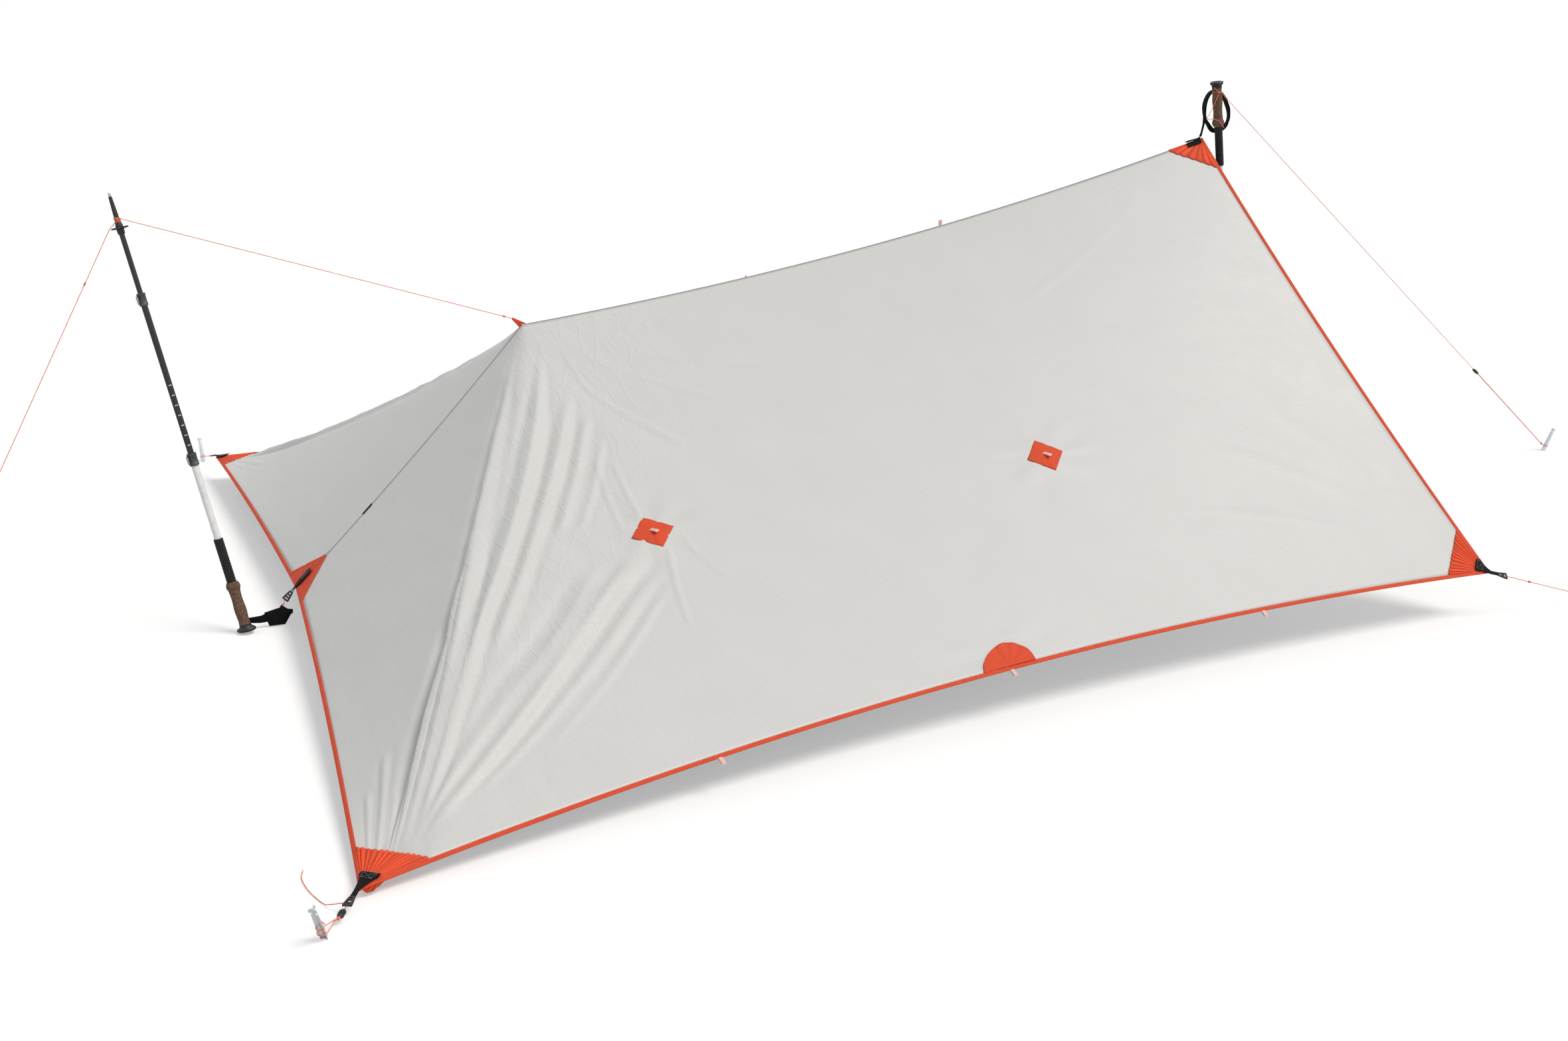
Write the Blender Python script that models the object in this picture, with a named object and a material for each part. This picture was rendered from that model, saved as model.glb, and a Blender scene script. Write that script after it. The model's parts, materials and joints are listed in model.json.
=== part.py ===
"""Flat camping tarp pitched as a low-ended shelter on two trekking poles.

The tarp is a ridge seam, two fabric panels, an orange binding round the hem, pleated corner
patches with webbing tabs and line locks, and four pull-outs. One pole stands upside down at the
low end and lifts the ridge by a line; the other holds the tall end. Six stakes hold the lines.

Metres, +Z up. Everything is laid out in the pitch's own coordinates: the ridge runs along X above
y = 0, and z = 0 is the ground. The last step moves the whole pitch so that the origin lies under
the middle of its box, level with the tips of the stakes.
"""

import math

import bmesh
import bpy
from mathutils import Matrix, Vector

# The pitch: ends and peak of the ridge, and the four corners
RIDGE_LOW = Vector((-1.648, 0.0, 0.092))
RIDGE_PEAK = Vector((-1.036, 0.0, 0.727))
RIDGE_HIGH = Vector((1.036, 0.0, 1.150))
NEAR_LOW = Vector((-1.722, -1.502, 0.022))
NEAR_HIGH = Vector((1.201, -1.121, 0.123))
FAR_LOW = Vector((-1.729, 1.500, 0.084))
FAR_HIGH = Vector((1.201, 1.121, 0.123))

# How far lines and edges leave the straight line between their ends
RIDGE_SAG_LOW = 0.012
RIDGE_SAG_HIGH = 0.045
CREST_SAG = 0.040
LONG_HEM_CUT = 0.090
HIGH_HEM_CUT = 0.022
LOW_HEM_CUT = 0.008

# Fabric, seam, binding and patches
FABRIC = 0.0012
CLEAR = 0.0003
END_CLEAR = 0.0004
SEAM_WIDTH = 0.006
SEAM_HEIGHT = 0.0024
HEM_WIDTH = 0.008
HEM_ABOVE = 0.0020
HEM_BELOW = 0.0012
HEM_GAP = 0.0010
PATCH_LEG = 0.125
RIDGE_PATCH_LEG = 0.110
PATCH_THICKNESS = 0.0010
PLEATS = 13
PLEAT_DEPTH = 0.0024
EDGE_PATCH_HALF = 0.070
EDGE_PATCH_DEPTH = 0.068
EDGE_PATCH_SHOULDER = 0.003
EDGE_PATCH_LIFT = 0.0005
INNER_SIDE = 1
OUTER_SIDE = 3
LOOP_WIDTH = 0.010
LOOP_LENGTH = 0.016
LOOP_THICKNESS = 0.0020
PEAK_TAB_FOOT = 0.011
PEAK_TAB_TIP = Vector((-0.0255, 0.0, 0.0185))
PEAK_TAB_NARROW = 0.005
PULL_OUT_SIDE = 0.075
PULL_OUT_HOVER = 0.0019
PULL_OUTS = {"low": (1.19, 0.54), "high": (1.61, 0.60)}
LOOPS_AT = (1.25, 1.5, 1.75)
RIDGE_LOOP_AT = 0.584

# Webbing tabs and line locks
WEBBING = 0.0016
TAB_INSIDE = 0.032
RIDGE_TAB_INSIDE = 0.052
TAB_WIDE = 0.040
TAB_NARROW = 0.012
TAB_DROP = 0.0006
TAB_RISE = HEM_ABOVE + 3 * CLEAR + WEBBING / 2
HEM_REACH = (HEM_GAP + HEM_WIDTH) * math.sqrt(2)
STRAP_RUN = 0.026
RIDGE_STRAP_RUN = 0.010
RIDGE_TAB_WIDE = 0.016
RIDGE_TAB_DROP = 0.0017
LOCK_LENGTH = 0.026
LOCK_WIDTH = 0.018
LOCK_THICK = 0.005
LOCK_SLOT = 0.0030

# Cords and stakes
CORD = 0.0018
STAKE_LENGTH = 0.180
STAKE_BURIED = 0.093
STAKE_LEAN = math.radians(27.0)
STAKE_FIN = 0.0080
STAKE_FIN_THICK = 0.0018
STAKE_POINT = 0.024
STAKE_HEAD = 0.008
STAKE_NOTCH = 0.005
STAKE_STEP = 0.001
WRAP_HEIGHT = 0.018
WRAP_SWEEP = math.radians(290.0)
WRAP_RISE = 0.0024
STAKES = {
    "stake_near_low": ((-1.803, -1.616), (-0.49, -0.87)),
    "stake_near_high": ((1.543, -1.175), (0.90, -0.44)),
    "stake_far_low": ((-1.765, 1.790), (-0.12, 0.99)),
    "stake_far_high": ((1.543, 1.175), (0.90, 0.44)),
    "stake_left_guy": ((-2.540, -0.100), (-1.0, 0.0)),
    "stake_right_guy": ((2.740, 0.150), (1.0, 0.0)),
}
CORD_LOCK_AT = Vector((-1.769, -1.575, 0.015))
CORD_LOCK_SIZE = (0.014, 0.011, 0.007)
TENSIONER_FROM_GRIP = 1.593
TENSIONER_SIZE = (0.030, 0.013, 0.006)
CORD_BORE = 0.0028
TAIL_ROUTE = (
    (-1.7790, -1.5240, 0.0085),
    (-1.7910, -1.5020, 0.0010),
    (-1.8080, -1.4500, 0.0010),
    (-1.8150, -1.3980, 0.0010),
    (-1.8090, -1.3670, 0.0010),
)

# Trekking poles: their ends, their turn about their axis, and sections from the pommel's end face
LEFT_FOOT = Vector((-1.7856, -0.048, 0.0045))
LEFT_TIP = Vector((-1.9926, 0.107, 1.088))
RIGHT_TOP = Vector((1.066, -0.018, 1.317))
RIGHT_FOOT = Vector((1.250, -0.020, 0.0005))
LEFT_SPIN = math.radians(200.0)
RIGHT_SPIN = math.radians(20.0)
POLE_SIDES = 16
TUBE_WALL = 0.0010
MID_DIAMETER = 0.0150
POMMEL_RADIUS = 0.019
POMMEL_HEIGHT = 0.018
POMMEL_FORWARD = 0.003
GRIP_END = 0.132
GRIP_RADIUS = 0.0140
COLLAR_FORWARD = 0.0015
WAIST_SHARE = 0.95
WAIST_AT = 0.030
FOAM_END = 0.246
FOAM_RADIUS = 0.0118
FOAM_RIM = 0.003
FOAM_RIM_SHARE = 0.94
UPPER_TUBE_START = 0.028
UPPER_TUBE_END = 0.464
MID_TUBE_LENGTH = 0.468
MID_INSERTED = 0.066
LOWER_TUBE_LENGTH = 0.432
TIP_LENGTH = 0.100
BASKET_FROM_TIP = 0.0845
BASKET_RADIUS = 0.0200
BASKET_THICK = 0.0020
BASKET_LOBES = 8
BASKET_LOBE = 0.0012
HUB_WALL = 0.0018
HUB_FLARE = 0.003
HUB_SWELL = 0.0010
HUB_LENGTH = 0.009
FLEX_START = 0.014
FLEX_WIDE = 0.0062
FLEX_NARROW = 0.0040
CARBIDE_LENGTH = 0.010
CARBIDE_RADIUS = 0.0031
CARBIDE_TAPER = 0.004
CARBIDE_FACE = 0.0024
GUY_TURN = 0.018
TURNS_APART = 0.006
SOCKET_DEPTH = 0.014

# Rings of the pommel, with their share of its radius and their stretch forwards
POMMEL_RINGS = (
    (0.0, 0.88, 1.15),
    (POMMEL_HEIGHT * 0.2, 1.0, 1.15),
    (POMMEL_HEIGHT * 0.5, 0.97, 1.12),
)
# Rings of the cork, with their share of the grip's radius and how far forward they lie
CORK_RINGS = (
    (POMMEL_HEIGHT, 1.04, 0.0),
    (WAIST_AT, WAIST_SHARE, 0.0),
    (GRIP_END * 0.42, 1.06, 0.0),
    (GRIP_END * 0.66, 0.94, 0.0),
    (GRIP_END - 0.024, 1.02, 0.0),
    (GRIP_END - 0.014, 1.16, COLLAR_FORWARD),
    (GRIP_END - 0.006, 1.10, COLLAR_FORWARD),
    (GRIP_END, 0.90, 0.0),
)

# Flick locks
LOCK_BODY_HEIGHT = 0.031
LOCK_BODY_WALL = 0.0026
LOCK_OVERHANG = 0.004
LUG_THICK = 0.005
LUG_ROOT_SHARE = 0.93
PIN_RADIUS = 0.0012
EYE_RADIUS = 0.0032
SPLIT_AT = math.radians(-45.0)
SPLIT_WIDTH = 0.0016
LEVER_THICK = 0.0022
LEVER_SWEEP = math.radians(150.0)
LEVER_START_SHARE = 0.66
LEVER_FLARE = 0.10
LEVER_STEPS = 10

# Wrist straps, each given by points in x and z
STRAP_WIDTH = 0.018
STRAP_THICK = 0.0024
LEFT_STRAP_Y = LEFT_FOOT.y + POMMEL_RADIUS + 0.003
STRAP_TIE = (-1.6960, 0.0440)
LEFT_STRAP_OUTLINE = (
    (-1.7590, 0.0150),
    (-1.7330, 0.0140),
    (-1.7295, 0.0012),
    (-1.6890, 0.0012),
    (-1.6734, 0.0271),
    (-1.6670, 0.0306),
    (-1.6670, 0.0415),
    (-1.6816, 0.0435),
    (-1.6965, 0.0571),
    (-1.6997, 0.0495),
    (-1.7375, 0.0415),
    (-1.7477, 0.0327),
    (-1.7590, 0.0310),
)
RIGHT_STRAP_LOOP = (
    (1.035, 1.207),
    (1.022, 1.247),
    (1.036, 1.280),
    (1.062, 1.295),
    (1.092, 1.272),
    (1.116, 1.235),
    (1.114, 1.205),
    (1.101, 1.186),
    (1.066, 1.190),
)
HANG_POINT = Vector((1.035, 0.004, 1.2050))

# Turned columns of the panels, rows of every column
GABLE_STEPS = 7
MAIN_STEPS = 18
LONG_STEPS = 22
PANEL_ROWS = 11

COLOURS = {
    "canopy": ("D2D2D0", 0.75, 0.0),
    "seam": ("8E9093", 0.8, 0.0),
    "binding": ("EF5A34", 0.7, 0.0),
    "webbing": ("1C1C1E", 0.7, 0.0),
    "cord": ("F07A50", 0.6, 0.0),
    "stake": ("C4C7CB", 0.35, 1.0),
    "carbon": ("202124", 0.35, 0.0),
    "tip": ("2A2422", 0.55, 0.0),
    "white_tube": ("ECECEC", 0.3, 0.0),
    "lock": ("4A4C50", 0.45, 0.0),
    "lever": ("9A9CA0", 0.3, 1.0),
    "foam": ("18181A", 0.95, 0.0),
    "cork": ("7A5C48", 0.85, 0.0),
    "plastic": ("17181A", 0.5, 0.0),
}


def clear_scene():
    for item in list(bpy.data.objects):
        bpy.data.objects.remove(item, do_unlink=True)


def linear(channel):
    return channel / 12.92 if channel <= 0.04045 else ((channel + 0.055) / 1.055) ** 2.4


def material(name):
    found = bpy.data.materials.get(name)
    if found:
        return found
    code, roughness, metallic = COLOURS[name]
    made = bpy.data.materials.new(name)
    made.use_nodes = True
    shader = made.node_tree.nodes["Principled BSDF"]
    rgb = [linear(int(code[i : i + 2], 16) / 255) for i in (0, 2, 4)]
    shader.inputs["Base Color"].default_value = (*rgb, 1.0)
    shader.inputs["Roughness"].default_value = roughness
    shader.inputs["Metallic"].default_value = metallic
    return made


def add_object(name, data, finish, parent):
    data.materials.append(material(finish))
    made = bpy.data.objects.new(name, data)
    bpy.context.scene.collection.objects.link(made)
    made.parent = parent
    return made


def add_empty(name, parent, matrix):
    made = bpy.data.objects.new(name, None)
    bpy.context.scene.collection.objects.link(made)
    made.parent = parent
    made.matrix_local = matrix
    return made


def mesh_from(bm, name, smooth_angle=35.0):
    bmesh.ops.recalc_face_normals(bm, faces=bm.faces)
    mesh = bpy.data.meshes.new(name)
    bm.to_mesh(mesh)
    bm.free()
    mesh.shade_smooth()
    mesh.set_sharp_from_angle(angle=math.radians(smooth_angle))
    return mesh


def ring_points(z, radius, sides=POLE_SIDES, centre=(0.0, 0.0), stretch=1.0, lobes=0, lobe=0.0):
    """A ring square to Z; stretch widens it along X, and lobes wave its radius."""
    points = []
    for i in range(sides):
        angle = 2 * math.pi * i / sides
        r = radius + lobe * math.cos(lobes * angle)
        x = centre[0] + stretch * r * math.cos(angle)
        points.append(Vector((x, centre[1] + r * math.sin(angle), z)))
    return points


def skin(rings, closed=False):
    """Bridge rings of equal count into one solid, capped at both ends or closed on itself."""
    bm = bmesh.new()
    loops = [[bm.verts.new(p) for p in ring] for ring in rings]
    count = len(loops[0])
    pairs = list(zip(loops, loops[1:]))
    if closed:
        pairs.append((loops[-1], loops[0]))
    for low, high in pairs:
        for i in range(count):
            j = (i + 1) % count
            bm.faces.new((low[i], low[j], high[j], high[i]))
    if not closed:
        bm.faces.new(loops[0])
        bm.faces.new(loops[-1])
    return bm


def turned(profile, closed=False, **ring):
    return skin([ring_points(z, r, **ring) for r, z in profile], closed)


def tube_profile(outer, inner, low, high):
    return [(outer, low), (outer, high), (inner, high), (inner, low)]


def thick_grid(rows, thickness):
    """A closed sheet from a grid of points, half its thickness above and half below."""
    bm = bmesh.new()
    lift = Vector((0, 0, thickness / 2))
    grid = [[bm.verts.new(p + lift) for p in row] for row in rows]
    for a, b in zip(grid, grid[1:]):
        for i in range(len(a) - 1):
            bm.faces.new((a[i], a[i + 1], b[i + 1], b[i]))
    drop = bmesh.ops.extrude_face_region(bm, geom=list(bm.faces))
    lowered = [v for v in drop["geom"] if isinstance(v, bmesh.types.BMVert)]
    bmesh.ops.translate(bm, vec=-2 * lift, verts=lowered)
    return bm


def section(centre, across, up, width, height):
    a = across * (width / 2)
    u = up * (height / 2)
    return [centre - a - u, centre + a - u, centre + a + u, centre - a + u]


def strip(stations):
    """A flat strap lofted through stations of centre, across, up, width and height."""
    return skin([section(*s) for s in stations])


def add_modifier_cut(target, cutter, operation):
    cut = target.modifiers.new(operation.lower(), "BOOLEAN")
    cut.operation = operation
    cut.object = cutter
    cutter.hide_render = True
    cutter.display_type = "WIRE"


def spread(low, high, steps):
    return [low + (high - low) * i / steps for i in range(steps + 1)]


def sagged(a, b, t, sag):
    return a.lerp(b, t) - Vector((0, 0, sag * 4 * t * (1 - t)))


def cut_in(a, b, t, depth, towards):
    """A hem cut to a shallow curve, drawn in towards the cloth."""
    along = (b - a).normalized()
    inward = towards - a.lerp(b, 0.5)
    inward = (inward - along * inward.dot(along)).normalized()
    return a.lerp(b, t) + inward * (depth * 4 * t * (1 - t))


class Panel:
    """One side of the canopy: a gable triangle, s 0 to 1, and the main cloth, s 1 to 2.

    t runs from the ridge, 0, to the low corner or the long hem, 1. The crest, s = 1, is the line
    of tension from the peak to the low corner.
    """

    def __init__(self, low, high):
        self.low = low
        self.high = high
        self.long = (high - low).length

    def ridge(self, s):
        if s <= 1:
            return sagged(RIDGE_LOW, RIDGE_PEAK, s, RIDGE_SAG_LOW)
        return sagged(RIDGE_PEAK, RIDGE_HIGH, s - 1, RIDGE_SAG_HIGH)

    def low_hem(self, t):
        return cut_in(RIDGE_LOW, self.low, t, LOW_HEM_CUT, RIDGE_PEAK)

    def high_hem(self, t):
        return cut_in(RIDGE_HIGH, self.high, t, HIGH_HEM_CUT, self.low)

    def long_hem(self, s):
        return cut_in(self.low, self.high, s, LONG_HEM_CUT, RIDGE_PEAK.lerp(RIDGE_HIGH, 0.3))

    def crest(self, t):
        return sagged(RIDGE_PEAK, self.low, t, CREST_SAG)

    def point(self, s, t):
        if s <= 1:
            bow = self.ridge(s) - RIDGE_LOW.lerp(RIDGE_PEAK, s)
            return self.low_hem(t).lerp(self.crest(t), s) + bow * (1 - t)
        m = s - 1
        bow = self.ridge(s) - RIDGE_PEAK.lerp(RIDGE_HIGH, m)
        cut = self.long_hem(m) - self.low.lerp(self.high, m)
        return self.crest(t).lerp(self.high_hem(t), m) + bow * (1 - t) + cut * t

    def normal(self, s, t):
        step = 0.01
        t = min(t, 1 - 4 * step)
        ds = self.point(min(s + step, 2), t) - self.point(max(s - step, 0), t)
        dt = self.point(s, min(t + step, 1)) - self.point(s, max(t - step, 0))
        up = ds.cross(dt).normalized()
        return up if up.z > 0 else -up

    def leg(self, start, end, length=PATCH_LEG):
        return start + (end - start).normalized() * length

    def corner_legs(self, which):
        """The two ends of a corner patch's inner edge: on the end hem, then on the long hem."""
        if which == "low":
            return self.leg(self.low, self.low_hem(0.9)), self.leg(self.low, self.long_hem(0.05))
        return self.leg(self.high, self.high_hem(0.9)), self.leg(self.high, self.long_hem(0.95))

    def ridge_leg(self, which):
        if which == "low":
            return self.leg(RIDGE_LOW, self.low_hem(0.1), RIDGE_PATCH_LEG)
        return self.leg(RIDGE_HIGH, self.high_hem(0.1), RIDGE_PATCH_LEG)

    def apex_column(self, which):
        if which == "low":
            return RIDGE_PATCH_LEG / (RIDGE_PEAK - RIDGE_LOW).length
        return 2 - RIDGE_PATCH_LEG / (RIDGE_HIGH - RIDGE_PEAK).length

    def columns(self):
        leg = PATCH_LEG / self.long
        low_apex = self.apex_column("low")
        high_apex = self.apex_column("high")
        gable = [0.0] + spread(low_apex, 1.0, GABLE_STEPS)
        main = spread(1 + leg, min(high_apex, 2 - leg), MAIN_STEPS)
        return gable + [1 + leg / 2] + main + [max(high_apex, 2 - leg), 2.0]

    def top(self, s):
        """Where a column starts: beside the ridge seam, or on a ridge patch's inner edge."""
        side = math.copysign(SEAM_WIDTH / 2 + CLEAR, self.low.y)
        beside = self.ridge(s) + Vector((0, side, 0))
        low_apex = self.apex_column("low")
        high_apex = self.apex_column("high")
        if s < low_apex:
            apex = self.ridge(low_apex) + Vector((0, side, 0))
            return self.ridge_leg("low").lerp(apex, s / low_apex)
        if s > high_apex:
            apex = self.ridge(high_apex) + Vector((0, side, 0))
            return apex.lerp(self.ridge_leg("high"), (s - high_apex) / (2 - high_apex))
        return beside

    def bottom(self, s):
        """Where a column ends: on the long hem, or on a corner patch's inner edge."""
        leg = PATCH_LEG / self.long
        if s <= 1 + leg:
            on_end, on_long = self.corner_legs("low")
            share = 0.5 * s if s <= 1 else 0.5 + 0.5 * (s - 1) / leg
            return on_end.lerp(on_long, share)
        if s >= 2 - leg:
            on_end, on_long = self.corner_legs("high")
            return on_long.lerp(on_end, (s - 2 + leg) / leg)
        return self.long_hem(s - 1)

    def column(self, s):
        """Points down one column, from its top to its bottom."""
        top = self.top(s)
        bottom = self.bottom(s)
        whole = (self.point(s, 1) - self.point(s, 0)).length
        start = (top - self.ridge(s)).length / whole
        end = 1 - (bottom - self.point(s, 1)).length / whole
        first = self.point(s, start)
        last = self.point(s, end)
        points = []
        for w in spread(0.0, 1.0, PANEL_ROWS):
            t = start + (end - start) * w
            ease = (top - first) * (1 - w) + (bottom - last) * w
            points.append(self.point(s, t) + ease)
        return points

    def grid(self):
        return [self.column(s) for s in self.columns()]

    def long_stations(self):
        """Places along the long hem, highest first, with a pair at each loop's sides."""
        leg = PATCH_LEG / self.long
        pairs = [s + side * LOOP_WIDTH / 2 / self.long for s in LOOPS_AT for side in (-1, 1)]
        ends = [1.5 + side * EDGE_PATCH_HALF / self.long for side in (-1, 1)]
        fixed = pairs + ends
        room = 0.4 / LONG_STEPS
        even = spread(1 + leg, 2 - leg, LONG_STEPS)
        plain = [s for s in even if min(abs(s - f) for f in fixed) > room]
        return sorted(fixed + plain, reverse=True)

    def edge(self):
        """The hem's stations and normals, from the ridge's high end round to its low end."""
        grid = self.grid()
        stations = [(p, self.normal(2, w)) for p, w in zip(grid[-1], spread(0, 1, PANEL_ROWS))]
        stations.append((self.high, self.normal(2, 1)))
        stations += [(self.long_hem(s - 1), self.normal(s, 1)) for s in self.long_stations()]
        stations.append((self.low, self.normal(1, 1)))
        low_run = reversed(grid[0])
        stations += [(p, self.normal(0, w)) for p, w in zip(low_run, spread(1, 0, PANEL_ROWS))]
        return stations

    def loop_indices(self):
        """Where each loop starts in the list that edge() returns, middle one second."""
        places = self.long_stations()
        before = PANEL_ROWS + 2
        reach = LOOP_WIDTH / self.long
        starts = []
        for loop in sorted(LOOPS_AT, reverse=True):
            starts.append(max(s for s in places if abs(s - loop) < reach))
        return [before + places.index(s) for s in starts]


def add_panel(name, panel, parent):
    bm = thick_grid(panel.grid(), FABRIC)
    return add_object(name, mesh_from(bm, name), "canopy", parent)


def mitred(before, here, after, up):
    """Outward direction of a strip's edge at a station, lengthened where the edge turns."""
    first = up.cross(here - before).normalized()
    second = up.cross(after - here).normalized()
    both = first + second
    return both / max(0.6, 1 + first.dot(second))


def hem_section(point, out, up):
    inner = point + out * HEM_GAP
    outer = inner + out * HEM_WIDTH
    shelf = FABRIC / 2 + EDGE_PATCH_LIFT
    return [
        inner - up * HEM_BELOW,
        inner + up * shelf,
        inner + up * HEM_ABOVE,
        outer + up * HEM_ABOVE,
        outer - up * HEM_BELOW,
    ]


def add_hem(near, far, parent):
    """The binding: one ring round both panels, with the hem loops and mid-edge patches."""
    near_edge = near.edge()
    far_edge = list(reversed(far.edge()))
    low = (RIDGE_LOW, (near.normal(0, 0) + far.normal(0, 0)).normalized())
    high = (RIDGE_HIGH, (near.normal(2, 0) + far.normal(2, 0)).normalized())
    stations = near_edge + [low] + far_edge + [high]
    count = len(stations)
    bm = bmesh.new()
    loops = []
    outs = []
    for k, (point, up) in enumerate(stations):
        before = stations[k - 1][0]
        after = stations[(k + 1) % count][0]
        out = mitred(before, point, after, up)
        outs.append(out)
        loops.append([bm.verts.new(p) for p in hem_section(point, out, up)])
    faces = []
    for k, ring in enumerate(loops):
        nxt = loops[(k + 1) % count]
        sides = [bm.faces.new((ring[j], ring[j - 4], nxt[j - 4], nxt[j])) for j in range(5)]
        faces.append(sides)
    bmesh.ops.recalc_face_normals(bm, faces=bm.faces)
    starts = near.loop_indices()
    far_starts = [count - 3 - i for i in far.loop_indices()]
    for k in starts + far_starts:
        outer = faces[k][OUTER_SIDE]
        grow(bm, [outer], {v: outs[k] * LOOP_LENGTH for v in outer.verts})
    reach = (EDGE_PATCH_SHOULDER, EDGE_PATCH_DEPTH, EDGE_PATCH_DEPTH, EDGE_PATCH_SHOULDER)
    for k in (starts[1], far_starts[1]):
        shifts = {}
        for i, depth in zip(range(k - 1, k + 3), reach):
            for v in loops[i][INNER_SIDE : INNER_SIDE + 2]:
                shifts[v] = -outs[i] * depth
        grow(bm, [faces[i][INNER_SIDE] for i in range(k - 1, k + 2)], shifts)
    return add_object("hem_binding", mesh_from(bm, "hem_binding"), "binding", parent)


def grow(bm, faces, shifts):
    """Push a region of faces out, each corner by its own vector, and wall its rim."""
    copies = {v: bm.verts.new(v.co + shift) for v, shift in shifts.items()}
    walls = []
    for face in faces:
        for loop in face.loops:
            if not any(other in faces for other in loop.edge.link_faces if other is not face):
                walls.append((loop.vert, loop.link_loop_next.vert))
    for face in faces:
        bm.faces.new([copies[v] for v in face.verts])
    for a, b in walls:
        bm.faces.new((a, b, copies[b], copies[a]))
    bmesh.ops.delete(bm, geom=faces, context="FACES")


def fan(corner, first, last, up, pleats, depth, start=0.16):
    """Grid of a pleated patch: columns fan out from the corner, and the pleats deepen outwards."""
    columns = []
    steps = 2 * pleats
    for i in range(steps + 1):
        rim = first.lerp(last, i / steps)
        shrink = 1 - 3 * CLEAR / (rim - corner).length
        wave = depth * (i % 2)
        columns.append([corner.lerp(rim, r * shrink) + up * (wave * r) for r in (start, 0.55, 1.0)])
    return columns


def add_corner_patch(name, panel, which, parent):
    corner = panel.low if which == "low" else panel.high
    on_end, on_long = panel.corner_legs(which)
    up = (on_end - corner).cross(on_long - corner).normalized()
    up = up if up.z > 0 else -up
    grid = fan(corner, on_end, on_long, up, PLEATS, PLEAT_DEPTH)
    bm = thick_grid(grid, PATCH_THICKNESS)
    return add_object(name, mesh_from(bm, name), "binding", parent)


def add_ridge_patch(name, near, far, which, pleats, parent):
    """A patch folded over the ridge's end, smooth at the low end and pleated at the high end."""
    corner = RIDGE_LOW if which == "low" else RIDGE_HIGH
    apex = near.ridge(near.apex_column(which))
    near_side = fan(corner, near.ridge_leg(which), apex, Vector((0, 0, 1)), pleats, PLEAT_DEPTH)
    far_side = fan(corner, apex, far.ridge_leg(which), Vector((0, 0, 1)), pleats, PLEAT_DEPTH)
    bm = thick_grid(near_side + far_side[1:], PATCH_THICKNESS)
    return add_object(name, mesh_from(bm, name), "binding", parent)


def add_ridge_seam(near, parent):
    """The seam between the ridge patches, with a small loop between the middle and tall end."""
    low = near.apex_column("low")
    high = near.apex_column("high")
    loop = 1 + RIDGE_LOOP_AT
    half = LOOP_WIDTH / 2 / (RIDGE_HIGH - RIDGE_PEAK).length
    places = spread(low, 1.0, 6) + spread(1.0, high, 12)[1:]
    places = sorted([s for s in places if abs(s - loop) > 4 * half] + [loop - half, loop + half])
    rings = []
    for s in places:
        height = Vector((0, 0, 1))
        rings.append(section(near.ridge(s), Vector((0, 1, 0)), height, SEAM_WIDTH, SEAM_HEIGHT))
    along = (near.ridge(low + 0.01) - near.ridge(low)).normalized()
    rings[0] = [p + along * CLEAR * 3 for p in rings[0]]
    rings[-1] = [p - along * CLEAR * 3 for p in rings[-1]]
    bm = skin(rings)
    bmesh.ops.recalc_face_normals(bm, faces=bm.faces)
    above = near.ridge(loop) + Vector((0, 0, SEAM_HEIGHT))
    top = min(bm.faces, key=lambda f: (f.calc_center_median() - above).length)
    grow(bm, [top], {v: Vector((0, 0, LOOP_LENGTH)) for v in top.verts})
    return add_object("ridge_seam", mesh_from(bm, "ridge_seam"), "seam", parent)


def add_pull_out(name, panel, s, t, parent):
    """A square patch set on its corner, following the cloth, with a flat folded loop on it."""
    reach = PULL_OUT_SIDE / math.sqrt(2)
    ds = reach / (panel.point(s + 0.5, t) - panel.point(s - 0.1, t)).length * 0.6
    dt = reach / (panel.point(s, 1) - panel.point(s, 0)).length
    places = ((s + ds, t), (s, t + dt), (s - ds, t), (s, t - dt))
    square = [panel.point(*at) + panel.normal(*at) * PULL_OUT_HOVER for at in places]
    up = panel.normal(s, t)
    top = up * PATCH_THICKNESS
    base = panel.point(s, t) + up * PULL_OUT_HOVER
    along = (square[0] - square[2]).normalized()
    a = along * (LOOP_WIDTH / 2)
    b = up.cross(along) * (LOOP_THICKNESS / 2)
    b = b if b.dot(square[1] - square[3]) > 0 else -b
    foot = [base + top + a - b, base + top + a + b, base + top - a + b, base + top - a - b]
    rings = [square, [p + top for p in square], foot, [p + up * LOOP_LENGTH for p in foot]]
    return add_object(name, mesh_from(skin(rings), name), "binding", parent)


def tab_stations(corner, inward, up, target, wide, inside, run):
    """A webbing tab from its sewn end, over the binding and out to its line lock."""
    sewn_side = up.cross(-inward).normalized()
    sewn = corner + up * TAB_RISE
    start = sewn - inward * HEM_REACH
    out = (target - start).normalized()
    side = out.cross(up).normalized() * -1
    over = side.cross(out).normalized()
    over = over if over.dot(up) > 0 else -over
    side = side if side.dot(sewn_side) > 0 else -side
    stations = []
    for share, width, drop in ((1.0, 0.85, TAB_DROP), (0.7, 1.0, TAB_DROP), (0.25, 0.55, 0.0)):
        centre = sewn + inward * inside * share - up * drop
        stations.append((centre, sewn_side, up, wide * width, WEBBING))
    stations.append((start, side, (over + up).normalized(), TAB_NARROW, WEBBING))
    stations.append((start + out * (run - 0.002), side, over, TAB_NARROW, WEBBING))
    for share, width in ((0.0, 0.8), (0.2, 1.0), (0.8, 1.0), (1.0, 0.7)):
        place = start + out * (run + LOCK_LENGTH * share)
        stations.append((place, side, over, LOCK_WIDTH * width, LOCK_THICK))
    return stations, start, out, side, over


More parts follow.
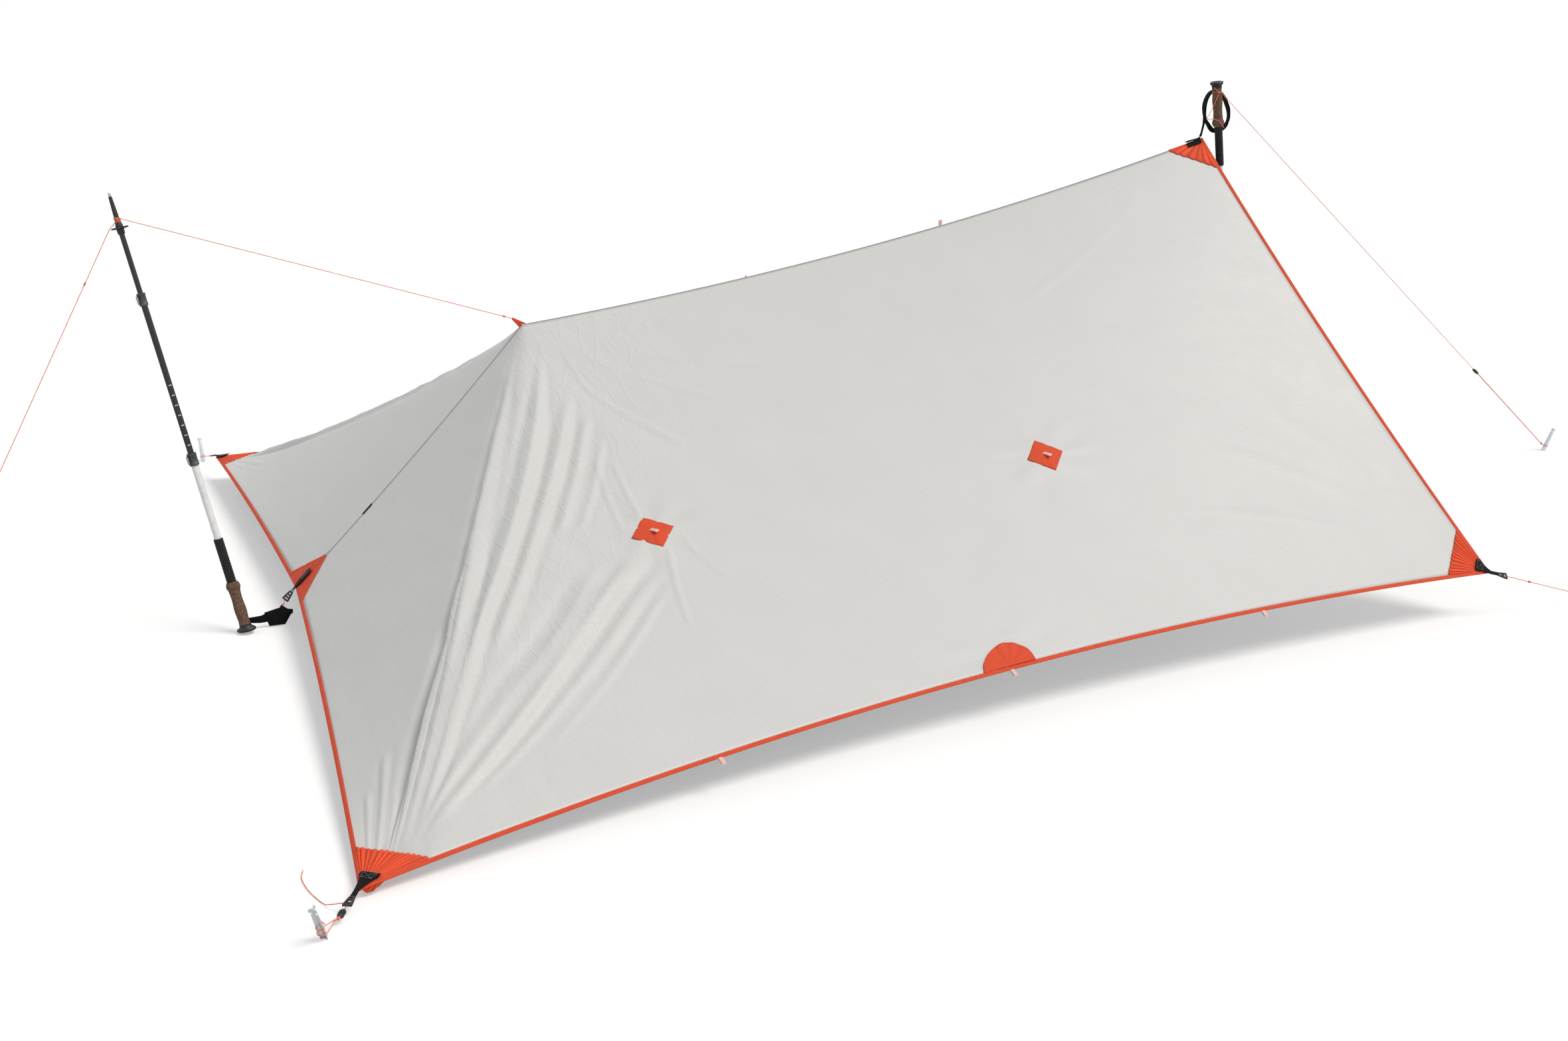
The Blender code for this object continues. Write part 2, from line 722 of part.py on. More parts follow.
def box_mesh(bm, centre, along, side, over, size):
    low = section(centre - along * size[0] / 2, side, over, size[1], size[2])
    high = section(centre + along * size[0] / 2, side, over, size[1], size[2])
    a = [bm.verts.new(p) for p in low]
    b = [bm.verts.new(p) for p in high]
    bm.faces.new(a)
    bm.faces.new(b)
    for i in range(4):
        bm.faces.new((a[i], a[i - 3], b[i - 3], b[i]))


def add_cutter(name, bm, parent, matrix=None):
    bmesh.ops.recalc_face_normals(bm, faces=bm.faces)
    mesh = bpy.data.meshes.new(name)
    bm.to_mesh(mesh)
    bm.free()
    made = bpy.data.objects.new(name, mesh)
    bpy.context.scene.collection.objects.link(made)
    made.parent = parent
    if matrix is not None:
        made.matrix_local = matrix
    return made


def add_tab(name, corner, inward, up, target, wide, inside, run, parent):
    """Webbing tab with its line lock, whose two slots take the webbing and the cord."""
    stations, start, out, side, over = tab_stations(corner, inward, up, target, wide, inside, run)
    made = add_object(name, mesh_from(strip(stations), name), "webbing", parent)
    slots = bmesh.new()
    for share in (0.32, 0.68):
        centre = start + out * (run + LOCK_LENGTH * share)
        box_mesh(slots, centre, out, side, over, (LOCK_SLOT, LOCK_WIDTH * 0.6, LOCK_THICK * 2))
    add_modifier_cut(made, add_cutter("slots_" + name, slots, parent), "DIFFERENCE")
    lock_end = start + out * (run + LOCK_LENGTH + END_CLEAR)
    return lock_end, out, side


def add_corner_tab(name, panel, which, target, parent):
    corner = panel.low if which == "low" else panel.high
    on_end, on_long = panel.corner_legs(which)
    up = (on_end - corner).cross(on_long - corner).normalized()
    up = up if up.z > 0 else -up
    inward = (on_end.lerp(on_long, 0.5) - corner).normalized()
    return add_tab(name, corner, inward, up, target, TAB_WIDE, TAB_INSIDE, STRAP_RUN, parent)


def y_section(z, fin, thick):
    """Section of a three-finned stake."""
    points = []
    for k in range(3):
        angle = math.pi / 2 + 2 * math.pi * k / 3
        way = Vector((math.cos(angle), math.sin(angle), 0))
        side = Vector((-way.y, way.x, 0)) * (thick / 2)
        valley = math.pi / 3 + angle
        deep = thick / math.sqrt(3)
        points += [way * fin - side, way * fin + side]
        points.append(Vector((math.cos(valley), math.sin(valley), 0)) * deep)
    return [p + Vector((0, 0, z)) for p in points]


def stake_axis(away):
    flat = Vector((away[0], away[1], 0)).normalized() * math.sin(STAKE_LEAN)
    return flat + Vector((0, 0, math.cos(STAKE_LEAN)))


def add_stake(name, parent):
    """Finned stake, pointed at the foot and notched under its head for the cord."""
    ground, away = STAKES[name]
    under_head = STAKE_LENGTH - STAKE_HEAD
    under_notch = under_head - STAKE_NOTCH
    profile = (
        (0.0, 0.2),
        (STAKE_POINT, 0.85),
        (STAKE_LENGTH * 0.68, 1.0),
        (under_notch - STAKE_NOTCH, 0.80),
        (under_notch - STAKE_STEP, 0.80),
        (under_notch, 0.50),
        (under_head - STAKE_STEP, 0.50),
        (under_head, 1.02),
        (STAKE_LENGTH, 0.92),
    )
    bm = skin([y_section(z, STAKE_FIN * share, STAKE_FIN_THICK) for z, share in profile])
    made = add_object(name, mesh_from(bm, name), "stake", parent)
    axis = stake_axis(away)
    turn = axis.to_track_quat("Z", "Y").to_matrix().to_4x4()
    made.matrix_local = Matrix.Translation(Vector((*ground, 0)) - axis * STAKE_BURIED) @ turn
    return made


def wrap_points(centre, axis, radius, towards, sweep, rise=0.0, step=math.radians(32.0)):
    """A turn of cord round an axis, ending where it leaves straight for a point."""
    axis = axis.normalized()
    way = towards - centre
    way = (way - axis * way.dot(axis)).normalized()
    side = axis.cross(way)
    leave = -math.pi / 2
    radius = radius / math.cos(step / 2)
    count = max(2, round(sweep / step))
    points = []
    for i in range(count + 1):
        angle = leave - sweep * (1 - i / count)
        lift = axis * rise * (1 - i / count)
        points.append(centre + (way * math.cos(angle) + side * math.sin(angle)) * radius + lift)
    return points


def stake_wrap(name, towards, sweep=WRAP_SWEEP, rise=WRAP_RISE):
    ground, away = STAKES[name]
    axis = stake_axis(away)
    centre = Vector((*ground, 0)) + axis * WRAP_HEIGHT
    return wrap_points(centre, axis, STAKE_FIN + CLEAR + CORD / 2, towards, sweep, rise)


def add_cord(name, points, parent, finish="cord"):
    curve = bpy.data.curves.new(name, "CURVE")
    curve.dimensions = "3D"
    curve.bevel_depth = CORD / 2
    curve.bevel_resolution = 2
    curve.use_fill_caps = True
    spline = curve.splines.new("POLY")
    spline.points.add(len(points) - 1)
    for place, point in zip(spline.points, points):
        place.co = (*point, 1.0)
    return add_object(name, curve, finish, parent)


def smooth_run(route, per_span):
    """Points of a smooth curve through a route."""
    places = [Vector(p) for p in route]
    ends = [places[0] * 2 - places[1]] + places + [places[-1] * 2 - places[-2]]
    points = []
    for a, b, c, d in zip(ends, ends[1:], ends[2:], ends[3:]):
        for i in range(per_span):
            t = i / per_span
            bend = (2 * a - 5 * b + 4 * c - d) * t**2 + (3 * b - a - 3 * c + d) * t**3
            points.append(0.5 * (2 * b + (c - a) * t + bend))
    return points + [places[-1]]


class Pole:
    """A three-section trekking pole, laid along Z from the pommel's end face to the tip."""

    def __init__(self, name, start, end, spin, pitch):
        axis = (end - start).normalized()
        turn = axis.to_track_quat("Z", "Y").to_matrix().to_4x4()
        spun = Matrix.Rotation(spin, 4, "Z")
        self.name = name
        self.axis = axis
        self.start = start
        self.length = (end - start).length
        self.frame = add_empty(name + "_frame", pitch, Matrix.Translation(start) @ turn @ spun)
        self.mid_bore = MID_DIAMETER / 2 - TUBE_WALL
        self.upper_bore = MID_DIAMETER / 2 + CLEAR
        self.upper_radius = self.upper_bore + TUBE_WALL
        self.lower_radius = self.mid_bore - CLEAR
        self.tip_base = self.length - TIP_LENGTH
        self.mid_start = UPPER_TUBE_END - MID_INSERTED
        self.mid_end = self.mid_start + MID_TUBE_LENGTH

    def add(self, part, bm, finish, smooth_angle=35.0):
        name = self.name + "_" + part
        return add_object(name, mesh_from(bm, name, smooth_angle), finish, self.frame)

    def add_tubes(self):
        upper = tube_profile(self.upper_radius, self.upper_bore, UPPER_TUBE_START, UPPER_TUBE_END)
        self.add("upper_tube", turned(upper, closed=True), "white_tube")
        mid = tube_profile(MID_DIAMETER / 2, self.mid_bore, self.mid_start, self.mid_end)
        self.add("mid_tube", turned(mid, closed=True), "carbon")
        top = self.tip_base + SOCKET_DEPTH - CLEAR
        bore = self.lower_radius - TUBE_WALL
        lower = tube_profile(self.lower_radius, bore, top - LOWER_TUBE_LENGTH, top)
        self.add("lower_tube", turned(lower, closed=True), "carbon")

    def add_grip(self):
        """Cork grip with its collar and rubber pommel, closed at the pommel end."""
        outside = []
        for z, radius, stretch in POMMEL_RINGS:
            forward = (POMMEL_FORWARD, 0.0)
            outside.append(ring_points(z, POMMEL_RADIUS * radius, POLE_SIDES, forward, stretch))
        for z, radius, forward in CORK_RINGS:
            outside.append(ring_points(z, GRIP_RADIUS * radius, POLE_SIDES, (forward, 0.0)))
        bore = self.upper_radius + CLEAR
        inside = [ring_points(GRIP_END, bore), ring_points(UPPER_TUBE_START - CLEAR, bore)]
        self.add("grip", skin(outside + inside), "cork")

    def add_foam(self):
        start = GRIP_END + CLEAR
        bore = self.upper_radius + CLEAR
        profile = [
            (FOAM_RADIUS * FOAM_RIM_SHARE, start),
            (FOAM_RADIUS, start + FOAM_RIM),
            (FOAM_RADIUS, FOAM_END - FOAM_RIM),
            (FOAM_RADIUS * FOAM_RIM_SHARE, FOAM_END),
            (bore, FOAM_END),
            (bore, start),
        ]
        self.add("foam_sleeve", turned(profile, closed=True), "foam")

    def add_tip(self):
        """Carbide tip, tapered flex tip and scalloped basket round a socket for the lower tube."""
        base = self.tip_base
        bore = self.lower_radius + CLEAR
        basket = self.length - BASKET_FROM_TIP
        hub = bore + HUB_WALL
        half = BASKET_THICK / 2
        carbide = self.length - CARBIDE_LENGTH
        lobed = {"lobes": BASKET_LOBES, "lobe": BASKET_LOBE}
        rings = [
            ring_points(base + SOCKET_DEPTH, bore),
            ring_points(base, bore),
            ring_points(base, hub),
            ring_points(basket - HUB_FLARE, hub + HUB_SWELL),
            ring_points(basket - half, BASKET_RADIUS, **lobed),
            ring_points(basket + half, BASKET_RADIUS, **lobed),
            ring_points(basket + 2 * half, hub + HUB_SWELL / 2),
            ring_points(basket + HUB_LENGTH, hub - HUB_SWELL / 2),
            ring_points(basket + FLEX_START, FLEX_WIDE),
            ring_points(carbide, FLEX_NARROW),
            ring_points(carbide + CLEAR, CARBIDE_RADIUS),
            ring_points(self.length - CARBIDE_TAPER, CARBIDE_RADIUS),
            ring_points(self.length, CARBIDE_FACE),
        ]
        self.add("tip", skin(rings), "tip")

    def tip_radius(self, from_tip):
        """Outer radius of the flex tip at a distance from the pole's end."""
        wide_at = BASKET_FROM_TIP - FLEX_START
        share = (wide_at - from_tip) / (wide_at - CARBIDE_LENGTH)
        return FLEX_WIDE + (FLEX_NARROW - FLEX_WIDE) * share

    def add_lock(self, part, tube_radius, tube_end):
        """Flick lock: a split collar with two lugs and a pin, and the lever that turns on it."""
        low = tube_end + LOCK_OVERHANG - LOCK_BODY_HEIGHT
        bore = tube_radius + CLEAR
        outer = bore + LOCK_BODY_WALL
        pin_at = outer + CLEAR + EYE_RADIUS
        place = Matrix.Translation((0, 0, low))
        collar = turned(tube_profile(outer, bore, 0, LOCK_BODY_HEIGHT), closed=True)
        body = self.add(part + "_lock", collar, "lock")
        body.matrix_local = place
        root = outer * LUG_ROOT_SHARE
        half_turn = spread(-math.pi / 2, math.pi / 2, 6)
        outline = [pin_outline(angle, pin_at, EYE_RADIUS) for angle in half_turn]
        outline += [Vector((root, EYE_RADIUS, 0)), Vector((root, -EYE_RADIUS, 0))]
        lugs = bmesh.new()
        for z in (0.0, LOCK_BODY_HEIGHT - LUG_THICK):
            extrude_outline(lugs, outline, z, z + LUG_THICK)
        pin = bmesh.new()
        half = LUG_THICK / 2
        pin_ring = [pin_outline(angle, pin_at, PIN_RADIUS) for angle in spread(0, 2 * math.pi, 12)[:-1]]
        extrude_outline(pin, pin_ring, half, LOCK_BODY_HEIGHT - half)
        slot = bmesh.new()
        cut = Matrix.Rotation(SPLIT_AT, 3, "Z")
        across = cut @ Vector((0, 1, 0))
        along = cut @ Vector((1, 0, 0))
        middle = along * (bore + LOCK_BODY_WALL / 2) + Vector((0, 0, LOCK_BODY_HEIGHT / 2))
        size = (LOCK_BODY_WALL * 2, SPLIT_WIDTH, LOCK_BODY_HEIGHT * 1.2)
        box_mesh(slot, middle, along, across, Vector((0, 0, 1)), size)
        name = self.name + "_" + part
        add_modifier_cut(body, add_cutter("lugs_" + name, lugs, self.frame, place), "UNION")
        add_modifier_cut(body, add_cutter("pin_" + name, pin, self.frame, place), "UNION")
        add_modifier_cut(body, add_cutter("slot_" + name, slot, self.frame, place), "DIFFERENCE")
        self.add_lever(part, outer, pin_at, place)

    def add_lever(self, part, outer, pin_at, place):
        low = LUG_THICK + CLEAR
        high = LOCK_BODY_HEIGHT - LUG_THICK - CLEAR
        at_pin = place @ Matrix.Translation((pin_at, 0, 0))
        inside = outer + 2 * CLEAR
        outside = inside + LEVER_THICK
        start = LEVER_START_SHARE * EYE_RADIUS / outside
        arc = spread(start, start + LEVER_SWEEP, LEVER_STEPS)
        flare = [outside * (1 + LEVER_FLARE * share**3) for share in spread(0, 1, LEVER_STEPS)]
        shift = Vector((pin_at, 0, 0))
        inner = [pin_outline(angle, 0.0, inside) - shift for angle in arc]
        outer_side = [pin_outline(angle, 0.0, radius) - shift for angle, radius in zip(arc, flare)]
        outline = inner + outer_side[::-1]
        plate = bmesh.new()
        extrude_outline(plate, outline, low, high)
        lever = self.add(part + "_lever", plate, "lever")
        lever.matrix_local = at_pin
        rounds = (("eye", EYE_RADIUS, "UNION"), ("bore", PIN_RADIUS + CLEAR, "DIFFERENCE"))
        for tag, radius, operation in rounds:
            extra = 0.0 if operation == "UNION" else LUG_THICK
            round_bm = bmesh.new()
            ring = [pin_outline(angle, 0.0, radius) for angle in spread(0, 2 * math.pi, 14)[:-1]]
            extrude_outline(round_bm, ring, low - extra, high + extra)
            cutter = add_cutter(tag + "_" + self.name + "_" + part, round_bm, self.frame, at_pin)
            add_modifier_cut(lever, cutter, operation)

    def build(self):
        self.add_tubes()
        self.add_grip()
        self.add_foam()
        self.add_tip()
        self.add_lock("upper", self.upper_radius, UPPER_TUBE_END)
        self.add_lock("lower", MID_DIAMETER / 2, self.mid_end)


def pin_outline(angle, centre_x, radius):
    return Vector((centre_x + radius * math.cos(angle), radius * math.sin(angle), 0))


def extrude_outline(bm, outline, low, high):
    a = [bm.verts.new((p.x, p.y, low)) for p in outline]
    b = [bm.verts.new((p.x, p.y, high)) for p in outline]
    bm.faces.new(a)
    bm.faces.new(b)
    for i in range(len(outline)):
        bm.faces.new((a[i - 1], a[i], b[i], b[i - 1]))


def add_left_strap(parent):
    """The wrist strap of the upturned pole, pulled out flat beside the pommel."""
    outline = [Vector((x, LEFT_STRAP_Y, z)) for x, z in LEFT_STRAP_OUTLINE]
    side = Vector((0, STRAP_THICK, 0))
    bm = skin([[p - side for p in outline], [p + side for p in outline]])
    return add_object("left_strap", mesh_from(bm, "left_strap"), "webbing", parent)


def add_right_strap(parent):
    """The wrist strap of the upright pole, hanging as an open loop behind the grip."""
    back = RIGHT_TOP.y + GRIP_RADIUS + CLEAR + STRAP_WIDTH / 2
    side = Vector((0, 1, 0))
    corners = [Vector((x, back, z)) for x, z in RIGHT_STRAP_LOOP]
    route = smooth_run(corners[-2:] + corners + corners[:2], 3)[6:-6]
    rings = []
    for i, point in enumerate(route[:-1]):
        way = (route[i + 1] - route[i - 1 if i else -2]).normalized()
        rings.append(section(point, way.cross(side).normalized(), side, STRAP_THICK, STRAP_WIDTH))
    mesh = mesh_from(skin(rings, closed=True), "right_strap")
    return add_object("right_strap", mesh, "webbing", parent)


def add_block(name, centre, along, size, bore, finish, parent):
    """A small cord lock: a block with a bore that its cord runs through."""
    up = Vector((0, 0, 1))
    side = along.cross(up).normalized()
    over = side.cross(along).normalized()
    length, width, thick = size
    shape = ((-0.5, 0.75), (-0.3, 1.0), (0.3, 1.0), (0.5, 0.75))
    stations = [(along * length * d, side, over, width * w, thick) for d, w in shape]
    made = add_object(name, mesh_from(strip(stations), name), finish, parent)
    made.matrix_local = Matrix.Translation(centre)
    hole = bmesh.new()
    turn = along.to_track_quat("Z", "Y").to_matrix()
    ends = []
    for z in (-length, length):
        ends.append([turn @ p for p in ring_points(z, bore / 2, 12)])
    a, b = [[hole.verts.new(p) for p in ring] for ring in ends]
    hole.faces.new(a)
    hole.faces.new(b)
    for i in range(12):
        hole.faces.new((a[i - 1], a[i], b[i], b[i - 1]))
    cutter = add_cutter("bore_" + name, hole, parent, Matrix.Translation(centre))
    add_modifier_cut(made, cutter, "DIFFERENCE")
    return made


def add_peak_tab(parent, near, towards):
    """The folded orange tab sewn upright into the ridge at the peak, which the ridge line pulls on."""
    foot = RIDGE_PEAK + Vector((0, 0, SEAM_HEIGHT / 2 + 2 * CLEAR))
    down = (near.ridge(0.9) - RIDGE_PEAK).normalized()
    along = (near.ridge(1.1) - RIDGE_PEAK).normalized()
    tip = RIDGE_PEAK + PEAK_TAB_TIP
    way = (towards - tip).normalized()
    half = Vector((way.z, 0, -way.x)).normalized() * (PEAK_TAB_NARROW / 2)
    outline = [foot + down * PEAK_TAB_FOOT, foot, foot + along * PEAK_TAB_FOOT, tip + half, tip - half]
    side = Vector((0, LOOP_THICKNESS / 2, 0))
    bm = skin([[p - side for p in outline], [p + side for p in outline]])
    add_object("peak_tab", mesh_from(bm, "peak_tab"), "binding", parent)
    return tip + way * END_CLEAR


def add_canopy(pitch, near, far):
    add_panel("near_panel", near, pitch)
    add_panel("far_panel", far, pitch)
    add_hem(near, far, pitch)
    add_ridge_seam(near, pitch)
    for side, panel in (("near", near), ("far", far)):
        for which in ("low", "high"):
            add_corner_patch("corner_patch_" + side + "_" + which, panel, which, pitch)
        for which, (s, t) in PULL_OUTS.items():
            add_pull_out("pull_out_" + side + "_" + which, panel, s, t, pitch)
    add_ridge_patch("ridge_patch_low", near, far, "low", 2, pitch)
    add_ridge_patch("ridge_patch_high", near, far, "high", PLEATS, pitch)


def add_corner_lines(pitch, near, far):
    """Corner tabs, their cords and the stakes that hold them."""
    for side, panel, which in (("near", near, "high"), ("far", far, "low"), ("far", far, "high")):
        stake = "stake_" + side + "_" + which
        ground, away = STAKES[stake]
        held = Vector((*ground, 0)) + stake_axis(away) * WRAP_HEIGHT
        tab = "corner_tab_" + side + "_" + which
        lock_end = add_corner_tab(tab, panel, which, held, pitch)[0]
        wrap = stake_wrap(stake, lock_end)
        add_cord("cord_" + side + "_" + which, [lock_end] + list(reversed(wrap)), pitch)
    lock_end, out, across = add_corner_tab("corner_tab_near_low", near, "low", CORD_LOCK_AT, pitch)
    add_block("cord_lock", CORD_LOCK_AT, out, CORD_LOCK_SIZE, CORD_BORE, "plastic", pitch)
    past_lock = CORD_LOCK_AT + out * (CORD_LOCK_SIZE[0] / 2 + 0.001)
    back_end = CORD_LOCK_AT + out * (CORD_LOCK_SIZE[0] / 2 + CLEAR + CORD / 2) - across * 0.0035
    turn = stake_wrap("stake_near_low", back_end, sweep=math.pi, rise=0.0)
    add_cord("cord_near_low", [lock_end, past_lock] + turn + [back_end], pitch)
    beside = lock_end - out * LOCK_LENGTH * 0.3
    clear_side = across * (LOCK_WIDTH / 2 + CLEAR + CORD / 2)
    side_way = clear_side if (beside + clear_side).y > (beside - clear_side).y else -clear_side
    route = [beside + side_way] + [Vector(p) for p in TAIL_ROUTE]
    add_cord("cord_tail", smooth_run(route, 5), pitch)


def add_low_ridge_end(pitch, near, far):
    """Low ridge tab and the short cord that ties it to the upturned pole's wrist strap."""
    up = (near.normal(0, 0) + far.normal(0, 0)).normalized()
    inward = (near.ridge(near.apex_column("low")) - RIDGE_LOW).normalized()
    up = (up - inward * up.dot(inward)).normalized()
    tie_x, tie_z = STRAP_TIE
    tie = Vector((tie_x, LEFT_STRAP_Y + STRAP_THICK + CLEAR + CORD / 2, tie_z))
    target = Vector((tie_x, RIDGE_LOW.y, tie_z))
    size = (RIDGE_TAB_WIDE, RIDGE_TAB_INSIDE, RIDGE_STRAP_RUN)
    lock_end, out = add_tab("ridge_tab_low", RIDGE_LOW, inward, up, target, *size, pitch)[:2]
    add_cord("strap_cord", [lock_end + out * (CORD * 0.4), lock_end.lerp(tie, 0.5), tie], pitch)


def add_high_ridge_end(pitch, near):
    """High ridge tab: webbing along the ridge, then a narrow strap up to the wrist strap."""
    inward = (near.ridge(near.apex_column("high")) - RIDGE_HIGH).normalized()
    side = Vector((0, 1, 0))
    up = inward.cross(side).normalized()
    up = up if up.z > 0 else -up
    start = RIDGE_HIGH + up * TAB_RISE
    stations = [
        (start + inward * RIDGE_TAB_INSIDE - up * RIDGE_TAB_DROP, side, up, RIDGE_TAB_WIDE, WEBBING),
        (start + inward * HEM_REACH / 3, side, up, RIDGE_TAB_WIDE, WEBBING),
    ]
    across_up = Vector((1, 0, 0))
    for share in (0.25, 1.0):
        stations.append((start.lerp(HANG_POINT, share), side, -across_up, TAB_NARROW * 0.7, WEBBING))
    add_object("ridge_tab_high", mesh_from(strip(stations), "ridge_tab_high"), "webbing", pitch)


def add_guy_lines(pitch, near, left, right):
    """Lines at the left pole's tip and the right pole's grip, and the tensioner on its line."""
    tip = left.start + left.axis * left.length
    basket = tip - left.axis * BASKET_FROM_TIP
    wrap_radius = left.tip_radius(BASKET_FROM_TIP - GUY_TURN) + CLEAR + CORD / 2
    low_turn = basket + left.axis * GUY_TURN
    high_turn = low_turn + left.axis * TURNS_APART
    stake_place = Vector((*STAKES["stake_left_guy"][0], 0))
    out = stake_place - basket
    out = (out - left.axis * out.dot(left.axis)).normalized()
    rim = basket + out * (BASKET_RADIUS + BASKET_LOBE + CORD) + left.axis * CORD
    tab_end = add_peak_tab(pitch, near, high_turn)
    ridge_turn = wrap_points(high_turn, left.axis, wrap_radius, tab_end, math.radians(200.0))
    add_cord("ridge_line", ridge_turn + [tab_end], pitch)
    guy_turn = wrap_points(low_turn, left.axis, wrap_radius, rim, math.radians(200.0))
    stake_turn = list(reversed(stake_wrap("stake_left_guy", rim)))
    add_cord("left_guyline", guy_turn + [rim] + stake_turn, pitch)
    grip = right.start + right.axis * WAIST_AT
    grip_radius = GRIP_RADIUS * WAIST_SHARE + CLEAR + CORD / 2
    far_stake = Vector((*STAKES["stake_right_guy"][0], 0))
    right_turn = wrap_points(grip, -right.axis, grip_radius, far_stake, math.radians(160.0))
    wrap = list(reversed(stake_wrap("stake_right_guy", grip)))
    add_cord("right_guyline", right_turn + wrap, pitch)
    run = wrap[0] - right_turn[-1]
    at = right_turn[-1] + run.normalized() * TENSIONER_FROM_GRIP
    add_block("guy_tensioner", at, run.normalized(), TENSIONER_SIZE, CORD_BORE, "plastic", pitch)


def stand_on_origin(pitch):
    """Put the origin under the middle of the pitch's box, level with the stakes' tips."""
    bpy.context.view_layer.update()
    graph = bpy.context.evaluated_depsgraph_get()
    low = Vector((1e9, 1e9, 1e9))
    high = -low
    for item in bpy.data.objects:
        if item.type not in ("MESH", "CURVE") or item.hide_render:
            continue
        seen = item.evaluated_get(graph)
        mesh = seen.to_mesh()
        for vertex in mesh.vertices:
            place = seen.matrix_world @ vertex.co
            low = Vector(map(min, low, place))
            high = Vector(map(max, high, place))
        seen.to_mesh_clear()
    pitch.location = (-(low.x + high.x) / 2, -(low.y + high.y) / 2, -low.z)
    bpy.context.view_layer.update()


def main():
    clear_scene()
    pitch = add_empty("pitch", None, Matrix.Identity(4))
    near = Panel(NEAR_LOW, NEAR_HIGH)
    far = Panel(FAR_LOW, FAR_HIGH)
    add_canopy(pitch, near, far)
    for name in STAKES:
        add_stake(name, pitch)
    left = Pole("left", LEFT_FOOT, LEFT_TIP, LEFT_SPIN, pitch)
    left.build()
    right = Pole("right", RIGHT_TOP, RIGHT_FOOT, RIGHT_SPIN, pitch)
    right.build()
    add_left_strap(pitch)
    add_right_strap(pitch)
    add_corner_lines(pitch, near, far)
    add_low_ridge_end(pitch, near, far)
    add_high_ridge_end(pitch, near)
    add_guy_lines(pitch, near, left, right)
    stand_on_origin(pitch)


main()
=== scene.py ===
"""Dresses the pitched camping tarp: cloth, binding, patches, lines, pegs and trekking poles.

The packed model is loaded as a fixed frame, and every piece is made in its coordinates. Pieces are
laid out in the pitch's own coordinates, where the ridge runs along X above y = 0 and z = 0 is the
ground, and PITCH moves them into the frame.
"""

import json
from functools import partial
from math import atan2, cos, hypot, pi, radians, sin, sqrt

import bmesh
import bpy
import numpy as np
from mathutils import Matrix, Vector, noise

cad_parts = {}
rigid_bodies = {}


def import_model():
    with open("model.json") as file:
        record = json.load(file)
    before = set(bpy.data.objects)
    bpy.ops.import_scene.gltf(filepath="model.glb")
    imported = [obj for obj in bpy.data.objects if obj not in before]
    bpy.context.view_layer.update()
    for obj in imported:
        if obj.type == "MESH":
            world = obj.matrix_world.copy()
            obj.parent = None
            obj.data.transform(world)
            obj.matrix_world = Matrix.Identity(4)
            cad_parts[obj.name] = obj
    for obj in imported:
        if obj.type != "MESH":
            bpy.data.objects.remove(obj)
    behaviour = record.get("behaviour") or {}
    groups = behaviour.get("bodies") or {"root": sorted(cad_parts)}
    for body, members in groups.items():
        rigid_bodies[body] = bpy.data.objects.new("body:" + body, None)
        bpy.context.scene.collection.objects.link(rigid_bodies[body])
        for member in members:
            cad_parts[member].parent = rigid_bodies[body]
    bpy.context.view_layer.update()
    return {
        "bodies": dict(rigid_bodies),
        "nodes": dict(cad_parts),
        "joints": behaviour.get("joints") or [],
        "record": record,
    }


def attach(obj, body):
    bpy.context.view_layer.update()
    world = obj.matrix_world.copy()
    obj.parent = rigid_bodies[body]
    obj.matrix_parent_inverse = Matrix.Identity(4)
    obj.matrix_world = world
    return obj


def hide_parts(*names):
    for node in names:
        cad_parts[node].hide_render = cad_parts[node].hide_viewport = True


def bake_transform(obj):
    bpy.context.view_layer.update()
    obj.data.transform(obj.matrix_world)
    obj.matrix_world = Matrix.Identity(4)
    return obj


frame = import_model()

bl_info = {
    "name": "Pitched camping tarp",
    "version": (1, 0, 0),
    "blender": (4, 5, 0),
    "location": "3D View > Sidebar > Tarp",
    "description": "Builds a pitched camping tarp with its poles, lines and pegs",
    "category": "Add Mesh",
}

PITCH = Vector((-0.1, -0.08854, 0.08358))

# The pitch, as in the CAD model
RIDGE_LOW = Vector((-1.648, 0.0, 0.092))
RIDGE_PEAK = Vector((-1.036, 0.0, 0.727))
RIDGE_HIGH = Vector((1.036, 0.0, 1.15))
CORNERS = {
    ("near", "low"): Vector((-1.722, -1.502, 0.022)),
    ("near", "high"): Vector((1.201, -1.121, 0.123)),
    ("far", "low"): Vector((-1.729, 1.5, 0.084)),
    ("far", "high"): Vector((1.201, 1.121, 0.123)),
}
RIDGE_SAG_LOW = 0.012
RIDGE_SAG_HIGH = 0.045
CREST_SAG = 0.04
LONG_HEM_CUT = 0.09
HIGH_HEM_CUT = 0.022
LOW_HEM_CUT = 0.008
# One panel as it is cut, and how far its pattern runs from ridge to hem
PATTERN_WIDTH = 1.52
PATCH_LEG = 0.125
RIDGE_PATCH_LEG = 0.11
SEAM_WIDTH = 0.006
HEM_WIDTH = 0.008
HEM_GAP = 0.001
LOOPS_AT = (1.25, 1.5, 1.75)
LOOP_WIDTH = 0.01
LOOP_LENGTH = 0.016
RIDGE_LOOP_AT = 0.584
PLEATS = 13
PATCH_THICK = 0.0009
PATCH_LIFT = 0.0016
THREAD_RISE = 0.0004
CLEAR = 0.0003
PULL_OUTS = {"low": (1.19, 0.54), "high": (1.61, 0.6)}
CORD = 0.0018

